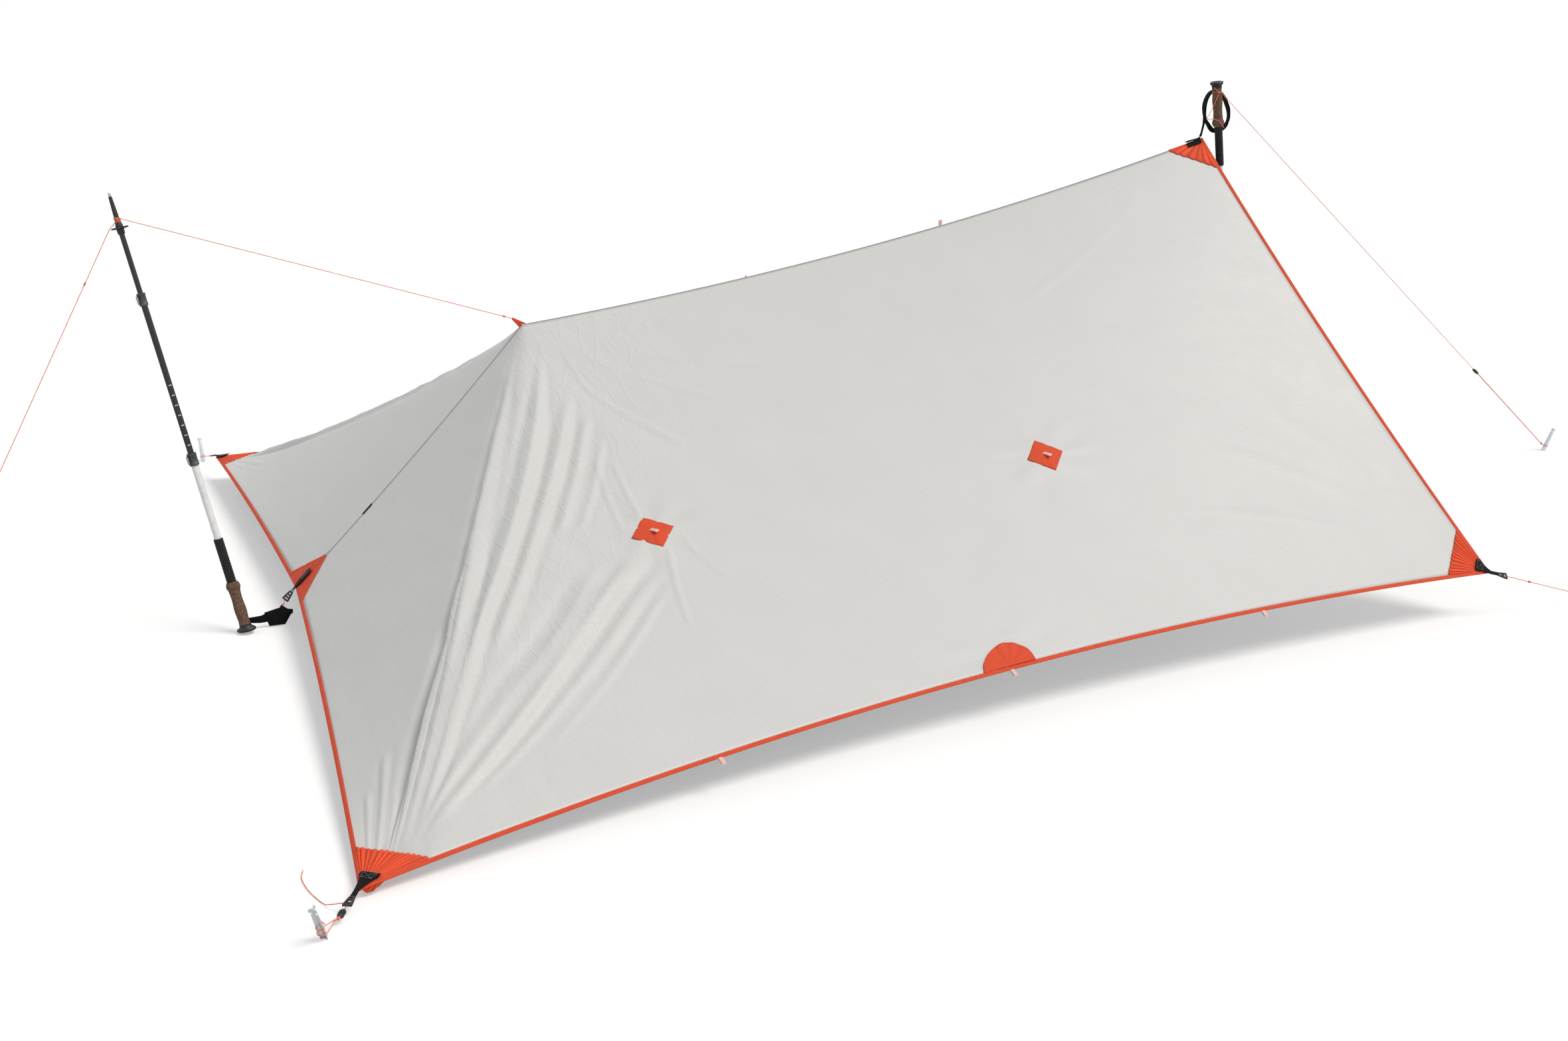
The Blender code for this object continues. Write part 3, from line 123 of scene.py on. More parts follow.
# Folds of the near cloth as lines of (s, t) with half width and height in metres
FOLDS = (
    (((1.0, 0.02), (0.998, 0.2), (1.0, 0.4), (1.008, 0.6), (1.01, 0.8), (1.01, 0.97)), 0.017, 0.0115),
    (((1.03, 0.05), (1.044, 0.22), (1.046, 0.38), (1.04, 0.52), (1.03, 0.66), (1.022, 0.97)),
     0.019, 0.0115),
    (((1.076, 0.17), (1.078, 0.3), (1.07, 0.46), (1.06, 0.6), (1.052, 0.7)), 0.016, 0.0075),
    (((1.104, 0.24), (1.102, 0.36), (1.094, 0.5)), 0.012, 0.0048),
    (((1.126, 0.3), (1.124, 0.4), (1.116, 0.5)), 0.009, 0.003),
    (((1.174, 0.57), (1.13, 0.69), (1.098, 0.79), (1.062, 0.89), (1.03, 0.97)), 0.028, 0.015),
    (((1.142, 0.56), (1.11, 0.68), (1.078, 0.77), (1.05, 0.86), (1.024, 0.95)), 0.021, 0.011),
    (((1.196, 0.61), (1.158, 0.72), (1.126, 0.8), (1.086, 0.89), (1.048, 0.95)), 0.017, 0.0065),
    (((1.205, 0.66), (1.18, 0.74), (1.15, 0.82), (1.11, 0.9)), 0.011, 0.0032),
    (((0.5, 0.74), (0.56, 0.86), (0.62, 0.97)), 0.01, 0.004),
    (((0.3, 0.8), (0.33, 0.9), (0.36, 0.97)), 0.009, 0.0035),
    (((0.76, 0.84), (0.8, 0.91), (0.84, 0.98)), 0.008, 0.0026),
    (((1.04, 0.03), (1.13, 0.15), (1.28, 0.3)), 0.009, 0.0032),
    (((1.06, 0.05), (1.17, 0.14), (1.36, 0.26)), 0.01, 0.0036),
    (((1.05, 0.06), (1.11, 0.2), (1.23, 0.38)), 0.009, 0.0034),
    (((1.08, 0.05), (1.22, 0.12), (1.45, 0.2)), 0.011, 0.003),
    (((1.06, 0.03), (1.24, 0.08), (1.48, 0.13)), 0.011, 0.0022),
    (((1.14, 0.36), (1.16, 0.44), (1.178, 0.51)), 0.007, 0.0024),
    (((1.12, 0.34), (1.138, 0.43), (1.162, 0.53)), 0.007, 0.0022),
    (((1.205, 0.57), (1.215, 0.66), (1.23, 0.76)), 0.007, 0.0022),
    (((1.215, 0.55), (1.24, 0.62), (1.275, 0.7)), 0.007, 0.0018),
    (((1.215, 0.52), (1.26, 0.53), (1.32, 0.55)), 0.007, 0.0016),
    (((1.9, 0.04), (1.8, 0.14), (1.64, 0.26)), 0.013, 0.0016),
    (((1.96, 0.9), (1.9, 0.8), (1.8, 0.66)), 0.013, 0.0022),
    (((1.94, 0.93), (1.86, 0.86), (1.74, 0.78)), 0.013, 0.002),
    (((1.97, 0.86), (1.93, 0.74), (1.87, 0.58)), 0.012, 0.0018),
)
FAR_FOLDS = 0.45

GABLE_COLUMNS = 60
CREST_COLUMNS = 110
MAIN_COLUMNS = 70
CLOTH_ROWS = 150
CREST_END = 1.26
CREST_PASSES = 36
WHITE = (1.0, 1.0, 1.0, 1.0)


def srgb(code, alpha=1.0):
    """A hex colour as Blender's linear numbers."""
    channels = [int(code[i : i + 2], 16) / 255 for i in (0, 2, 4)]
    return (*[c / 12.92 if c <= 0.04045 else ((c + 0.055) / 1.055) ** 2.4 for c in channels], alpha)


def give(node, *first, inputs=None, **named):
    """Give a node its inputs, as values or as sockets to link: in order, by number or by name."""
    for key, value in (*enumerate(first), *(inputs or {}).items(), *named.items()):
        socket = node.inputs[key if isinstance(key, int) else key.replace("_", " ")]
        if isinstance(value, bpy.types.NodeSocket):
            node.id_data.links.new(value, socket)
        else:
            socket.default_value = value


def add_node(tree, kind, *first, out=0, inputs=None, **named):
    """Add one node and give back the output that is used. Names in small letters are settings of
    the node, and names with a capital are its inputs."""
    made = tree.nodes.new(kind if "Node" in kind else "ShaderNode" + kind)
    for key in [key for key in named if key.islower()]:
        setattr(made, key, named.pop(key))
    give(made, *first, inputs=inputs, **named)
    return made.outputs[out] if made.outputs else None


def new_material(name, make, *given):
    """A material whose own function lays its nodes round the shader."""
    made = bpy.data.materials.new(name)
    made.use_nodes = True
    make(partial(add_node, made.node_tree), made.node_tree.nodes["Principled BSDF"], *given)
    return made


def tinted(add, value, stops, interpolation="LINEAR"):
    """Colour a value by (position, colour) stops."""
    colour = add("ValToRGB", value)
    ramp = colour.node.color_ramp
    ramp.interpolation = interpolation
    while len(ramp.elements) < len(stops):
        ramp.elements.new(1.0)
    for element, (position, tint) in zip(ramp.elements, stops):
        element.position = position
        element.color = srgb(tint) if isinstance(tint, str) else tint
    return colour


def shaded(colour, share):
    """A linear colour made darker, or lighter where the share is over one."""
    return (*[min(c * share, 1.0) for c in colour[:3]], 1.0)


def coated_ripstop(add, shader, colour):
    """Silicone-coated ripstop nylon: smooth and slightly glossy, creased where it was packed, its
    raised grid of doubled threads just showing. The real grid is about 5 mm, drawn at 9 mm."""
    place = add("UVMap", uv_map="cloth")
    where = add("TexCoord", out="Object")
    broad = add("TexNoise", where, Scale=7.0, Detail=4.0)
    colour = tinted(add, broad, ((0.3, shaded(colour, 0.975)), (0.7, shaded(colour, 1.0))))
    threads = []
    for turn in (0.0, pi / 2):
        lined = add("Mapping", place, Rotation=(0, 0, turn))
        wave = add("TexWave", lined, out="Fac", Scale=17.5)
        threads.append(add("Math", wave, 12.0, operation="POWER"))
    grid = add("Math", threads[0], threads[1], operation="MAXIMUM")
    shade = add("Math", grid, 0.06, operation="MULTIPLY")
    colour = add("Mix", shade, out=2, data_type="RGBA", inputs={6: colour, 7: srgb("A4A5A7")})
    creases = add("TexNoise", where, Scale=26.0, Detail=5.0, Roughness=0.55)
    pulled = add("Mapping", place, Scale=(34.0, 13.0, 1.0))
    bends = creases.node.outputs["Color"]
    bent = add("Mix", 0.12, out=1, data_type="VECTOR", inputs={4: pulled, 5: bends})
    cracks = add("TexVoronoi", bent, feature="DISTANCE_TO_EDGE", Scale=1.0)
    sharp = add("MapRange", cracks, From_Max=0.1, To_Min=1.0, To_Max=0.0)
    crumpled = add("Attribute", out="Fac", attribute_name="crumple")
    height = add("Math", sharp, crumpled, operation="MULTIPLY")
    relief = add("Bump", Height=height, Strength=0.55, Distance=0.001)
    for height, strength, distance in ((creases, 0.16, 0.003), (grid, 0.12, 0.0004)):
        relief = add("Bump", Height=height, Strength=strength, Distance=distance, Normal=relief)
    rough = add("MapRange", creases, To_Min=0.34, To_Max=0.5)
    give(shader, Base_Color=colour, Normal=relief, Roughness=rough, IOR=1.43)
    give(shader, Sheen_Weight=0.1, Sheen_Roughness=0.4)


def woven_tape(add, shader, colour, pitch):
    """Woven nylon tape or patch cloth: plain weave at a pitch in metres, drawn coarse enough to
    show, darker between the threads, with painted shade down in the pleats and painted light on
    their crests, and faint streaks along the warp."""
    where = add("TexCoord", out="Object")
    crossed = []
    for turn in ((0.0, 0.0, 0.7), (0.6, 0.9, 2.2)):
        lined = add("Mapping", where, Rotation=turn)
        crossed.append(add("TexWave", lined, out="Fac", Scale=0.157 / pitch, Distortion=0.6))
    weave = add("Math", crossed[0], crossed[1], operation="MULTIPLY")
    broad = add("TexNoise", where, Scale=30.0, Detail=4.0)
    blend = add("Math", weave, broad, operation="ADD")
    colour = tinted(add, blend, ((0.25, shaded(colour, 0.84)), (0.95, shaded(colour, 1.03))))
    # Painted shade in the valleys of the pleats and painted light on their crests, read from values that
    # each pleated piece carries; the low ridge patch also carries its seam line here.
    fold = add("Attribute", out="Fac", attribute_name="fold")
    light = add("MapRange", fold, From_Min=-1.0, To_Min=0.58, To_Max=1.17)
    colour = add("HueSaturation", Color=colour, Value=light)
    relief = add("Bump", Height=weave, Strength=0.35, Distance=0.0004)
    give(shader, Base_Color=colour, Normal=relief, Roughness=0.7, Specular_IOR_Level=0.3)


def nylon_webbing(add, shader):
    """Black nylon webbing: chevron ribs across the tape, and hardly any sheen."""
    place = add("UVMap", uv_map="cloth")
    chevron = {"bands_direction": "DIAGONAL", "Distortion": 1.5, "Detail": 1.0}
    ribs = add("TexWave", place, out="Fac", Scale=95.0, **chevron)
    where = add("TexCoord", out="Object")
    dust = add("TexNoise", where, Scale=60.0, Detail=5.0)
    blend = add("Math", ribs, dust, operation="MULTIPLY")
    colour = tinted(add, blend, ((0.05, "0A0A0B"), (0.75, "1C1C1F")))
    relief = add("Bump", Height=ribs, Strength=0.5, Distance=0.0005)
    give(shader, Base_Color=colour, Normal=relief, Roughness=0.8, Specular_IOR_Level=0.15)


def braided_cord(add, shader, colour):
    """Braided polyester guy cord: crossing strands with a paler tracer thread in them."""
    where = add("TexCoord", out="Object")
    strands = add("TexVoronoi", where, Scale=700.0)
    tracer = add("TexNoise", where, Scale=160.0, Detail=2.0)
    pale = (*[c + (1 - c) * 0.22 for c in colour[:3]], 1.0)
    colour = tinted(add, tracer, ((0.45, shaded(colour, 1.0)), (0.62, pale)))
    relief = add("Bump", Height=strands, Strength=0.5, Distance=0.0003)
    give(shader, Base_Color=colour, Normal=relief, Roughness=0.6)


def striped_tape(add, shader):
    """Reflective grosgrain of the hem loops: orange edges with white stripes woven along it."""
    place = add("UVMap", uv_map="cloth")
    parts = add("SeparateXYZ", Vector=place)
    bands = add("Math", parts, 260.0, operation="MULTIPLY")
    bands = add("Math", bands, operation="FRACT")
    colour = tinted(add, bands, ((0.0, "E8512E"), (0.42, "ECE9E6")), "CONSTANT")
    ribs = add("TexWave", place, out="Fac", bands_direction="Y", Scale=160.0)
    relief = add("Bump", Height=ribs, Strength=0.4, Distance=0.0003)
    give(shader, Base_Color=colour, Normal=relief, Roughness=0.55)


def brushed_alloy(add, shader, light, dark, roughness, grain):
    """Anodised aluminium, drawn or brushed: fine lines along the piece and duller worn spots."""
    where = add("TexCoord", out="Object")
    stretched = add("Mapping", where, Scale=(grain, grain, grain / 30))
    lines = add("TexNoise", stretched, Scale=1.0, Detail=4.0)
    colour = tinted(add, lines, ((0.3, dark), (0.7, light)))
    spots = add("TexNoise", where, Scale=90.0, Detail=3.0)
    rough = add("MapRange", spots, To_Min=roughness * 0.8, To_Max=roughness * 1.4)
    relief = add("Bump", Height=lines, Strength=0.06, Distance=0.0002)
    give(shader, Base_Color=colour, Normal=relief, Roughness=rough, Metallic=1.0)


def moulded_polymer(add, shader, base, worn, roughness, grain):
    """Injection-moulded nylon or acetal: fine spark texture, edges and high spots a touch paler."""
    where = add("TexCoord", out="Object")
    texture = add("TexNoise", where, Scale=grain, Detail=4.0)
    scuffs = add("TexNoise", where, Scale=grain / 8, Detail=6.0)
    colour = tinted(add, scuffs, ((0.48, base), (0.78, worn)))
    rough = add("MapRange", scuffs, To_Min=roughness * 0.85, To_Max=roughness * 1.2)
    relief = add("Bump", Height=texture, Strength=0.2, Distance=0.0002)
    give(shader, Base_Color=colour, Normal=relief, Roughness=rough)


def carbon_tube(add, shader):
    """Rolled carbon-fibre tube under clear lacquer: dark, glossy, with a faint twill in it."""
    place = add("UVMap", uv_map="cloth")
    twill = add("TexWave", place, out="Fac", bands_direction="DIAGONAL", Scale=70.0, Distortion=2.0)
    colour = tinted(add, twill, ((0.2, "101113"), (0.8, "1C1D20")))
    where = add("TexCoord", out="Object")
    rubs = add("TexNoise", where, Scale=120.0, Detail=4.0)
    rough = add("MapRange", rubs, To_Min=0.34, To_Max=0.5)
    give(shader, Base_Color=colour, Roughness=rough, Coat_Weight=0.15, Coat_Roughness=0.12)


def white_lacquer(add, shader):
    """White powder-coated tube: slight orange peel and faint grey rubs along it."""
    where = add("TexCoord", out="Object")
    rubs = add("TexNoise", where, Scale=70.0, Detail=6.0)
    colour = tinted(add, rubs, ((0.3, "E4E5E6"), (0.55, "F3F3F2")))
    peel = add("TexNoise", where, Scale=900.0, Detail=2.0)
    relief = add("Bump", Height=peel, Strength=0.08, Distance=0.0002)
    give(shader, Base_Color=colour, Normal=relief, Roughness=0.3)


def pressed_cork(add, shader):
    """Pressed natural cork, darkened by hands: grains of 1 to 3 mm, dark pits between them."""
    where = add("TexCoord", out="Object")
    grains = add("TexVoronoi", where, Scale=420.0)
    tone = add("TexNoise", where, Scale=180.0, Detail=6.0, Roughness=0.7)
    colour = tinted(add, tone, ((0.3, "54402F"), (0.5, "866650"), (0.72, "A58265")))
    pits = add("MapRange", grains, From_Min=0.25, From_Max=0.75)
    colour = add("Mix", pits, out=2, data_type="RGBA", inputs={6: colour, 7: srgb("443126")})
    relief = add("Bump", Height=grains, Strength=0.4, Distance=-0.0006)
    give(shader, Base_Color=colour, Normal=relief, Roughness=0.82)


def foamed_rubber(add, shader):
    """Closed-cell foam sleeve: matt black with a fine pore texture and a dusty bloom."""
    where = add("TexCoord", out="Object")
    pores = add("TexVoronoi", where, Scale=900.0)
    bloom = add("TexNoise", where, Scale=40.0, Detail=4.0)
    colour = tinted(add, bloom, ((0.35, "131314"), (0.75, "242426")))
    relief = add("Bump", Height=pores, Strength=0.35, Distance=0.0004)
    give(shader, Base_Color=colour, Normal=relief, Roughness=0.92)


def finish_of(key):
    """A material of the tarp by its short name, made when it is first asked for."""
    scene = bpy.context.scene
    makers = {
        "canopy": (coated_ripstop, "coated_ripstop", scene.tarp_cloth.canopy),
        "binding": (woven_tape, "orange_nylon", scene.tarp_sewing.binding, 0.0022),
        "striped": (striped_tape, "striped_grosgrain"),
        "seam": (woven_tape, "grey_seam_tape", srgb("B4B5B8"), 0.002),
        "webbing": (nylon_webbing, "nylon_webbing"),
        "thread": (braided_cord, "orange_thread", srgb("D8461F")),
        "pale_thread": (braided_cord, "grey_thread", srgb("6E7074")),
        "cord": (braided_cord, "braided_guy_cord", scene.tarp_lines.cord),
        "stake": (brushed_alloy, "anodised_aluminium", "DCDEE1", "CBCDD1", 0.34, 110.0),
        "lever": (brushed_alloy, "polished_aluminium", "B9BCC1", "93969B", 0.26, 300.0),
        "steel": (brushed_alloy, "tungsten_carbide", "D0D2D5", "A5A8AC", 0.22, 400.0),
        "carbon": (carbon_tube, "lacquered_carbon"),
        "white": (white_lacquer, "white_lacquer"),
        "cork": (pressed_cork, "pressed_cork"),
        "foam": (foamed_rubber, "foamed_rubber"),
        "lock": (moulded_polymer, "glass_filled_nylon", "3A3C40", "54565B", 0.42, 900.0),
        "plastic": (moulded_polymer, "acetal", "141416", "2A2A2D", 0.45, 700.0),
        "tip": (moulded_polymer, "flex_polymer", "1C1817", "39322F", 0.5, 800.0),
    }
    make, name, *given = makers[key]
    return bpy.data.materials.get(name) or new_material(name, make, *given)


def mix(a, b, share):
    return a + (b - a) * share


def ease(x):
    x = np.clip(x, 0.0, 1.0)
    return x * x * (3 - 2 * x)


def unit(v):
    return v / np.linalg.norm(v, axis=-1, keepdims=True)


UP = np.array((0.0, 0.0, 1.0))


def sagged(a, b, share, sag):
    share = np.asarray(share, float)[..., None]
    return mix(a, b, share) - UP * (sag * 4 * share * (1 - share))


def cut_in(a, b, share, depth, towards):
    """A hem cut to a shallow curve, drawn in towards the cloth."""
    share = np.asarray(share, float)[..., None]
    along = unit(b - a)
    inward = towards - mix(a, b, 0.5)
    inward = unit(inward - along * inward.dot(along))
    return mix(a, b, share) + inward * (depth * 4 * share * (1 - share))


LOW, PEAK, HIGH = (np.array(p) for p in (RIDGE_LOW, RIDGE_PEAK, RIDGE_HIGH))


class Panel:
    """One side of the canopy: s runs along the ridge with the peak at 1, t from ridge to hem."""

    def __init__(self, side):
        self.side = side
        self.sign = -1.0 if side == "near" else 1.0
        self.low = np.array(CORNERS[side, "low"])
        self.high = np.array(CORNERS[side, "high"])
        self.long = np.linalg.norm(self.high - self.low)

    def ridge(self, s):
        s = np.asarray(s, float)
        gable = sagged(LOW, PEAK, s, RIDGE_SAG_LOW)
        main = sagged(PEAK, HIGH, s - 1, RIDGE_SAG_HIGH)
        return np.where(s[..., None] <= 1, gable, main)

    def low_hem(self, t):
        return cut_in(LOW, self.low, t, LOW_HEM_CUT, PEAK)

    def high_hem(self, t):
        return cut_in(HIGH, self.high, t, HIGH_HEM_CUT, self.low)

    def long_hem(self, m):
        return cut_in(self.low, self.high, m, LONG_HEM_CUT, mix(PEAK, HIGH, 0.3))

    def crest(self, t):
        return sagged(PEAK, self.low, t, CREST_SAG)

    def point(self, s, t):
        s, t = np.broadcast_arrays(np.asarray(s, float), np.asarray(t, float))
        sv, tv = s[..., None], t[..., None]
        crest = self.crest(t)
        bow = self.ridge(s) - mix(LOW, PEAK, sv)
        gable = mix(self.low_hem(t), crest, sv) + bow * (1 - tv)
        bow = self.ridge(s) - mix(PEAK, HIGH, sv - 1)
        cut = self.long_hem(s - 1) - mix(self.low, self.high, sv - 1)
        main = mix(crest, self.high_hem(t), sv - 1) + bow * (1 - tv) + cut * tv
        return np.where(sv <= 1, gable, main)

    def flat(self, s, t):
        """Where a point lies on the cut cloth, in metres."""
        first = np.linalg.norm(PEAK - LOW)
        whole = first + np.linalg.norm(HIGH - PEAK)
        gable = (1 - t) * first * s
        main = (1 - t) * first * (2 - s) + whole * (s - 1)
        return np.stack([np.where(s <= 1, gable, main), PATTERN_WIDTH * t], axis=-1)

    def normal(self, s, t, step=0.01):
        t = np.minimum(t, 1 - 4 * step)
        s, t = np.broadcast_arrays(np.asarray(s, float), np.asarray(t, float))
        ds = self.point(np.minimum(s + step, 2), t) - self.point(np.maximum(s - step, 0), t)
        dt = self.point(s, t + step) - self.point(s, np.maximum(t - step, 0))
        up = unit(np.cross(ds, dt))
        return up * np.sign(up[..., 2:3])

    def leg(self, start, end, length=PATCH_LEG):
        return start + unit(end - start) * length

    def corner(self, which):
        return self.low if which == "low" else self.high

    def corner_legs(self, which):
        """The ends of a corner patch's inner edge: on the end hem, then on the long hem."""
        if which == "low":
            return self.leg(self.low, self.low_hem(0.9)), self.leg(self.low, self.long_hem(0.05))
        return self.leg(self.high, self.high_hem(0.9)), self.leg(self.high, self.long_hem(0.95))

    def corner_up(self, which):
        on_end, on_long = self.corner_legs(which)
        up = unit(np.cross(on_end - self.corner(which), on_long - self.corner(which)))
        return up * np.sign(up[2])

    def ridge_leg(self, which):
        if which == "low":
            return self.leg(LOW, self.low_hem(0.1), RIDGE_PATCH_LEG)
        return self.leg(HIGH, self.high_hem(0.1), RIDGE_PATCH_LEG)

    def apex(self, which):
        if which == "low":
            return RIDGE_PATCH_LEG / np.linalg.norm(PEAK - LOW)
        return 2 - RIDGE_PATCH_LEG / np.linalg.norm(HIGH - PEAK)

    def top(self, s):
        """Where a column starts: beside the ridge seam, or on a ridge patch's inner edge."""
        beside = np.array((0.0, self.sign * SEAM_WIDTH * 0.3, 0.0))
        low, high = self.apex("low"), self.apex("high")
        at_low = mix(self.ridge_leg("low"), self.ridge(low) + beside, (s / low)[:, None])
        at_high = mix(self.ridge(high) + beside, self.ridge_leg("high"), ((s - high) / (2 - high))[:, None])
        free = self.ridge(s) + beside
        return np.where((s < low)[:, None], at_low, np.where((s > high)[:, None], at_high, free))

    def bottom(self, s):
        """Where a column ends: on the long hem, or on a corner patch's inner edge."""
        leg = PATCH_LEG / self.long
        share = np.where(s <= 1, 0.5 * s, 0.5 + 0.5 * (s - 1) / leg)[:, None]
        at_low = mix(*self.corner_legs("low"), share)
        on_end, on_long = self.corner_legs("high")
        at_high = mix(on_long, on_end, ((s - 2 + leg) / leg)[:, None])
        free = self.long_hem(s - 1)
        return np.where((s <= 1 + leg)[:, None], at_low, np.where((s >= 2 - leg)[:, None], at_high, free))

    def columns(self):
        leg = PATCH_LEG / self.long
        gable = np.linspace(0, 1, GABLE_COLUMNS)
        crest = np.linspace(1, CREST_END, CREST_COLUMNS)[1:]
        main = np.linspace(CREST_END, 2 - leg, MAIN_COLUMNS)[1:]
        return np.concatenate([gable, crest, main, np.linspace(2 - leg, 2, 9)[1:]])

    def bare(self, s, w):
        """The cloth before its folds: places s along it and shares w from top to bottom."""
        top, bottom = self.top(s)[:, None], self.bottom(s)[:, None]
        ends = [self.point(s, np.full_like(s, t))[:, None] for t in (0.0, 1.0)]
        whole = np.linalg.norm(ends[1] - ends[0], axis=-1)
        start = np.linalg.norm(top - ends[0], axis=-1) / whole
        end = 1 - np.linalg.norm(bottom - ends[1], axis=-1) / whole
        t = start + (end - start) * w[None, :]
        column = np.broadcast_to(s[:, None], t.shape)
        first = self.point(s[:, None], start)
        last = self.point(s[:, None], end)
        share = w[None, :, None]
        pull = (top - first) * (1 - share) + (bottom - last) * share
        return column, t, self.point(column, t) + pull

    def cloth(self, height, crinkle):
        """The draped cloth: the bare panel with its crest rounded, its folds and its crinkles."""
        s = self.columns()
        column, t, points = self.bare(s, np.linspace(0, 1, CLOTH_ROWS))
        near_crest = ease(1 - np.abs(column - 1) / 0.07) * ease(t / 0.08) * ease((1 - t) / 0.08)
        for _ in range(CREST_PASSES):
            between = (np.roll(points, 1, axis=0) + np.roll(points, -1, axis=0)) / 2
            points = mix(points, between, 0.6 * near_crest[..., None])
        along = np.gradient(points, s, axis=0)
        down = np.gradient(points, axis=1) / np.gradient(t, axis=1)[..., None]
        normal = unit(np.cross(along, down))
        normal *= np.sign(normal[..., 2:3])
        folded = height * (1.0 if self.side == "near" else FAR_FOLDS)
        lift = folded * self.folds(column, t, along, down) + crinkle * self.crinkles(points, column, t)
        edge = ease(t / 0.03) * ease((1 - t) / 0.03)
        ends = ease(column / 0.05) * ease((2 - column) / 0.03)
        points = points + normal * (lift * edge * ends)[..., None]
        return column, t, points

    def folds(self, s, t, along, down):
        """Height of the tension folds, each a ridge with a shallow valley on either side."""
        total = np.zeros_like(s)
        for line, half, height in FOLDS:
            run = np.array(curve_through([(a, b, 0.0) for a, b in sorted(line, key=lambda p: p[1])], 12))
            place = np.interp(t, run[:, 1], run[:, 0])
            slope = np.interp(t, run[:, 1], np.gradient(run[:, 0], run[:, 1]))
            tangent = unit(down + along * slope[..., None])
            reach = np.linalg.norm(np.cross(along, tangent), axis=-1)
            gather = 0.3 + 0.7 * ease(t / 0.3) * ease((1 - t) / 0.3)
            x = (s - place) * reach / (half * gather)
            share = (t - run[0, 1]) / (run[-1, 1] - run[0, 1])
            fade = ease(share / 0.16) * ease((1 - share) / 0.16)
            profile = np.exp(-np.abs(x) ** 1.35) - 0.42 * np.exp(-(((np.abs(x) - 1.7) / 0.75) ** 2))
            total += height * gather * fade * profile
        return total

    def crinkles(self, points, s, t):
        """Small creases left by packing, and radial puckers round the pull-outs, in metres."""
        scale = Vector((9.0, 9.0, 3.5))
        flat = self.flat(s, t)
        total = np.empty(s.shape)
        for i, j in np.ndindex(s.shape):
            u, v = flat[i, j]
            at = Vector((u * scale.x - v * 4.0, v * scale.z + u * 1.5, self.sign))
            total[i, j] = noise.fractal(at, 0.9, 2.1, 4)
        near = ease((1.22 - s) / 0.14) * ease((s - 0.86) / 0.12)
        lift = 0.0022 * total * (0.35 + 0.9 * near)
        for at in [*PULL_OUTS.values(), (1.5, 0.985)]:
            centre = self.point(*at)
            ds = unit(self.point(at[0] + 0.02, at[1]) - centre)
            away = points - centre
            distance = np.linalg.norm(away, axis=-1)
            angle = np.arctan2(np.linalg.norm(np.cross(away, ds), axis=-1), away @ ds)
            ring = np.exp(-(((distance - 0.085) / 0.055) ** 2))
            tented = 0.004 if at[1] < 0.9 else 0.0
            pucker = 0.0016 * ring * np.cos(7 * angle + 1.0)
            lift = lift + pucker + tented * np.exp(-((distance / 0.06) ** 2))
            flat_below = 1 - ease((0.085 - distance) / 0.02) if at[1] > 0.9 else 1.0
            lift = lift * flat_below
        return lift

    def crumpled(self, s, t):
        """How much the cloth is creased, from 0 to 1: most round the crest, little elsewhere."""
        return 0.04 + 0.9 * ease((1.24 - s) / 0.14) * ease((s - 0.92) / 0.08) * ease((0.96 - t) / 0.3)


def curve_through(route, per_span):
    """Points of a smooth curve through a route."""
    places = [Vector(p) for p in route]
    ends = [places[0] * 2 - places[1]] + places + [places[-1] * 2 - places[-2]]
    points = []
    for a, b, c, d in zip(ends, ends[1:], ends[2:], ends[3:]):
        for i in range(per_span):
            t = i / per_span
            cubic = (2 * a - 5 * b + 4 * c - d) * t**2 + (3 * b - a - 3 * c + d) * t**3
            points.append(0.5 * (2 * b + (c - a) * t + cubic))
    return points + [places[-1]]


NODE_BODY = {
    name: body
    for body, empty in frame["bodies"].items()
    for name, item in frame["nodes"].items()
    if item.parent == empty
}


def new_object(name, data):
    made = bpy.data.objects.new(name, data)
    bpy.context.scene.collection.objects.link(made)
    return made


def add_piece(name, shape, finish, angle, closed=True):
    """A mesh piece at the origin from (points, faces, corner UVs); points are pitch coordinates."""
    points, faces, uvs = shape
    mesh = bpy.data.meshes.new(name)
    mesh.from_pydata([tuple(p) for p in np.asarray(points) + np.array(PITCH)], [], faces)
    layer = mesh.uv_layers.new(name="cloth")
    layer.data.foreach_set("uv", np.asarray(uvs, np.float32).ravel())
    bm = bmesh.new()
    bm.from_mesh(mesh)
    if closed:
        bmesh.ops.recalc_face_normals(bm, faces=bm.faces)
    bm.to_mesh(mesh)
    bm.free()
    mesh.materials.append(finish_of(finish))
    mesh.shade_smooth()
    mesh.set_sharp_from_angle(angle=radians(angle))
    return new_object(name, mesh)


def dress(made, slot, node=None, body="root", bend=None):
    """Let a piece stand for a node of the frame and ride with a body, or, given a bend, stay unparented
    where it lies.
    """
    if node:
        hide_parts(node)
    if bend:
        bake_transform(made)
    else:
        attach(made, NODE_BODY[node] if node else body)
    return made


def put(name, shape, finish, angle, slot, *where, **more):
    """Add a piece and dress it."""
    return dress(add_piece(name, shape, finish, angle), slot, *where, **more)


def joined(shapes):
    """Several shapes as one."""
    points, faces, uvs = [], [], []
    for more_points, more_faces, more_uvs in shapes:
        start = len(points)
        points += [tuple(p) for p in more_points]
        faces += [tuple(start + i for i in face) for face in more_faces]
        uvs += [tuple(uv) for uv in more_uvs]
    return points, faces, uvs


def sheet_shape(grid, uv):
    """An open sheet over a grid of points, with a UV for each point."""
    grid = np.asarray(grid, float)
    rows, count = grid.shape[:2]
    flat_uv = np.asarray(uv, float).reshape(-1, 2)
    faces = []
    for k in range(rows - 1):
        for i in range(count - 1):
            a = k * count + i
            faces.append((a, a + 1, a + count + 1, a + count))
    return grid.reshape(-1, 3), faces, flat_uv[np.array(faces).ravel()]


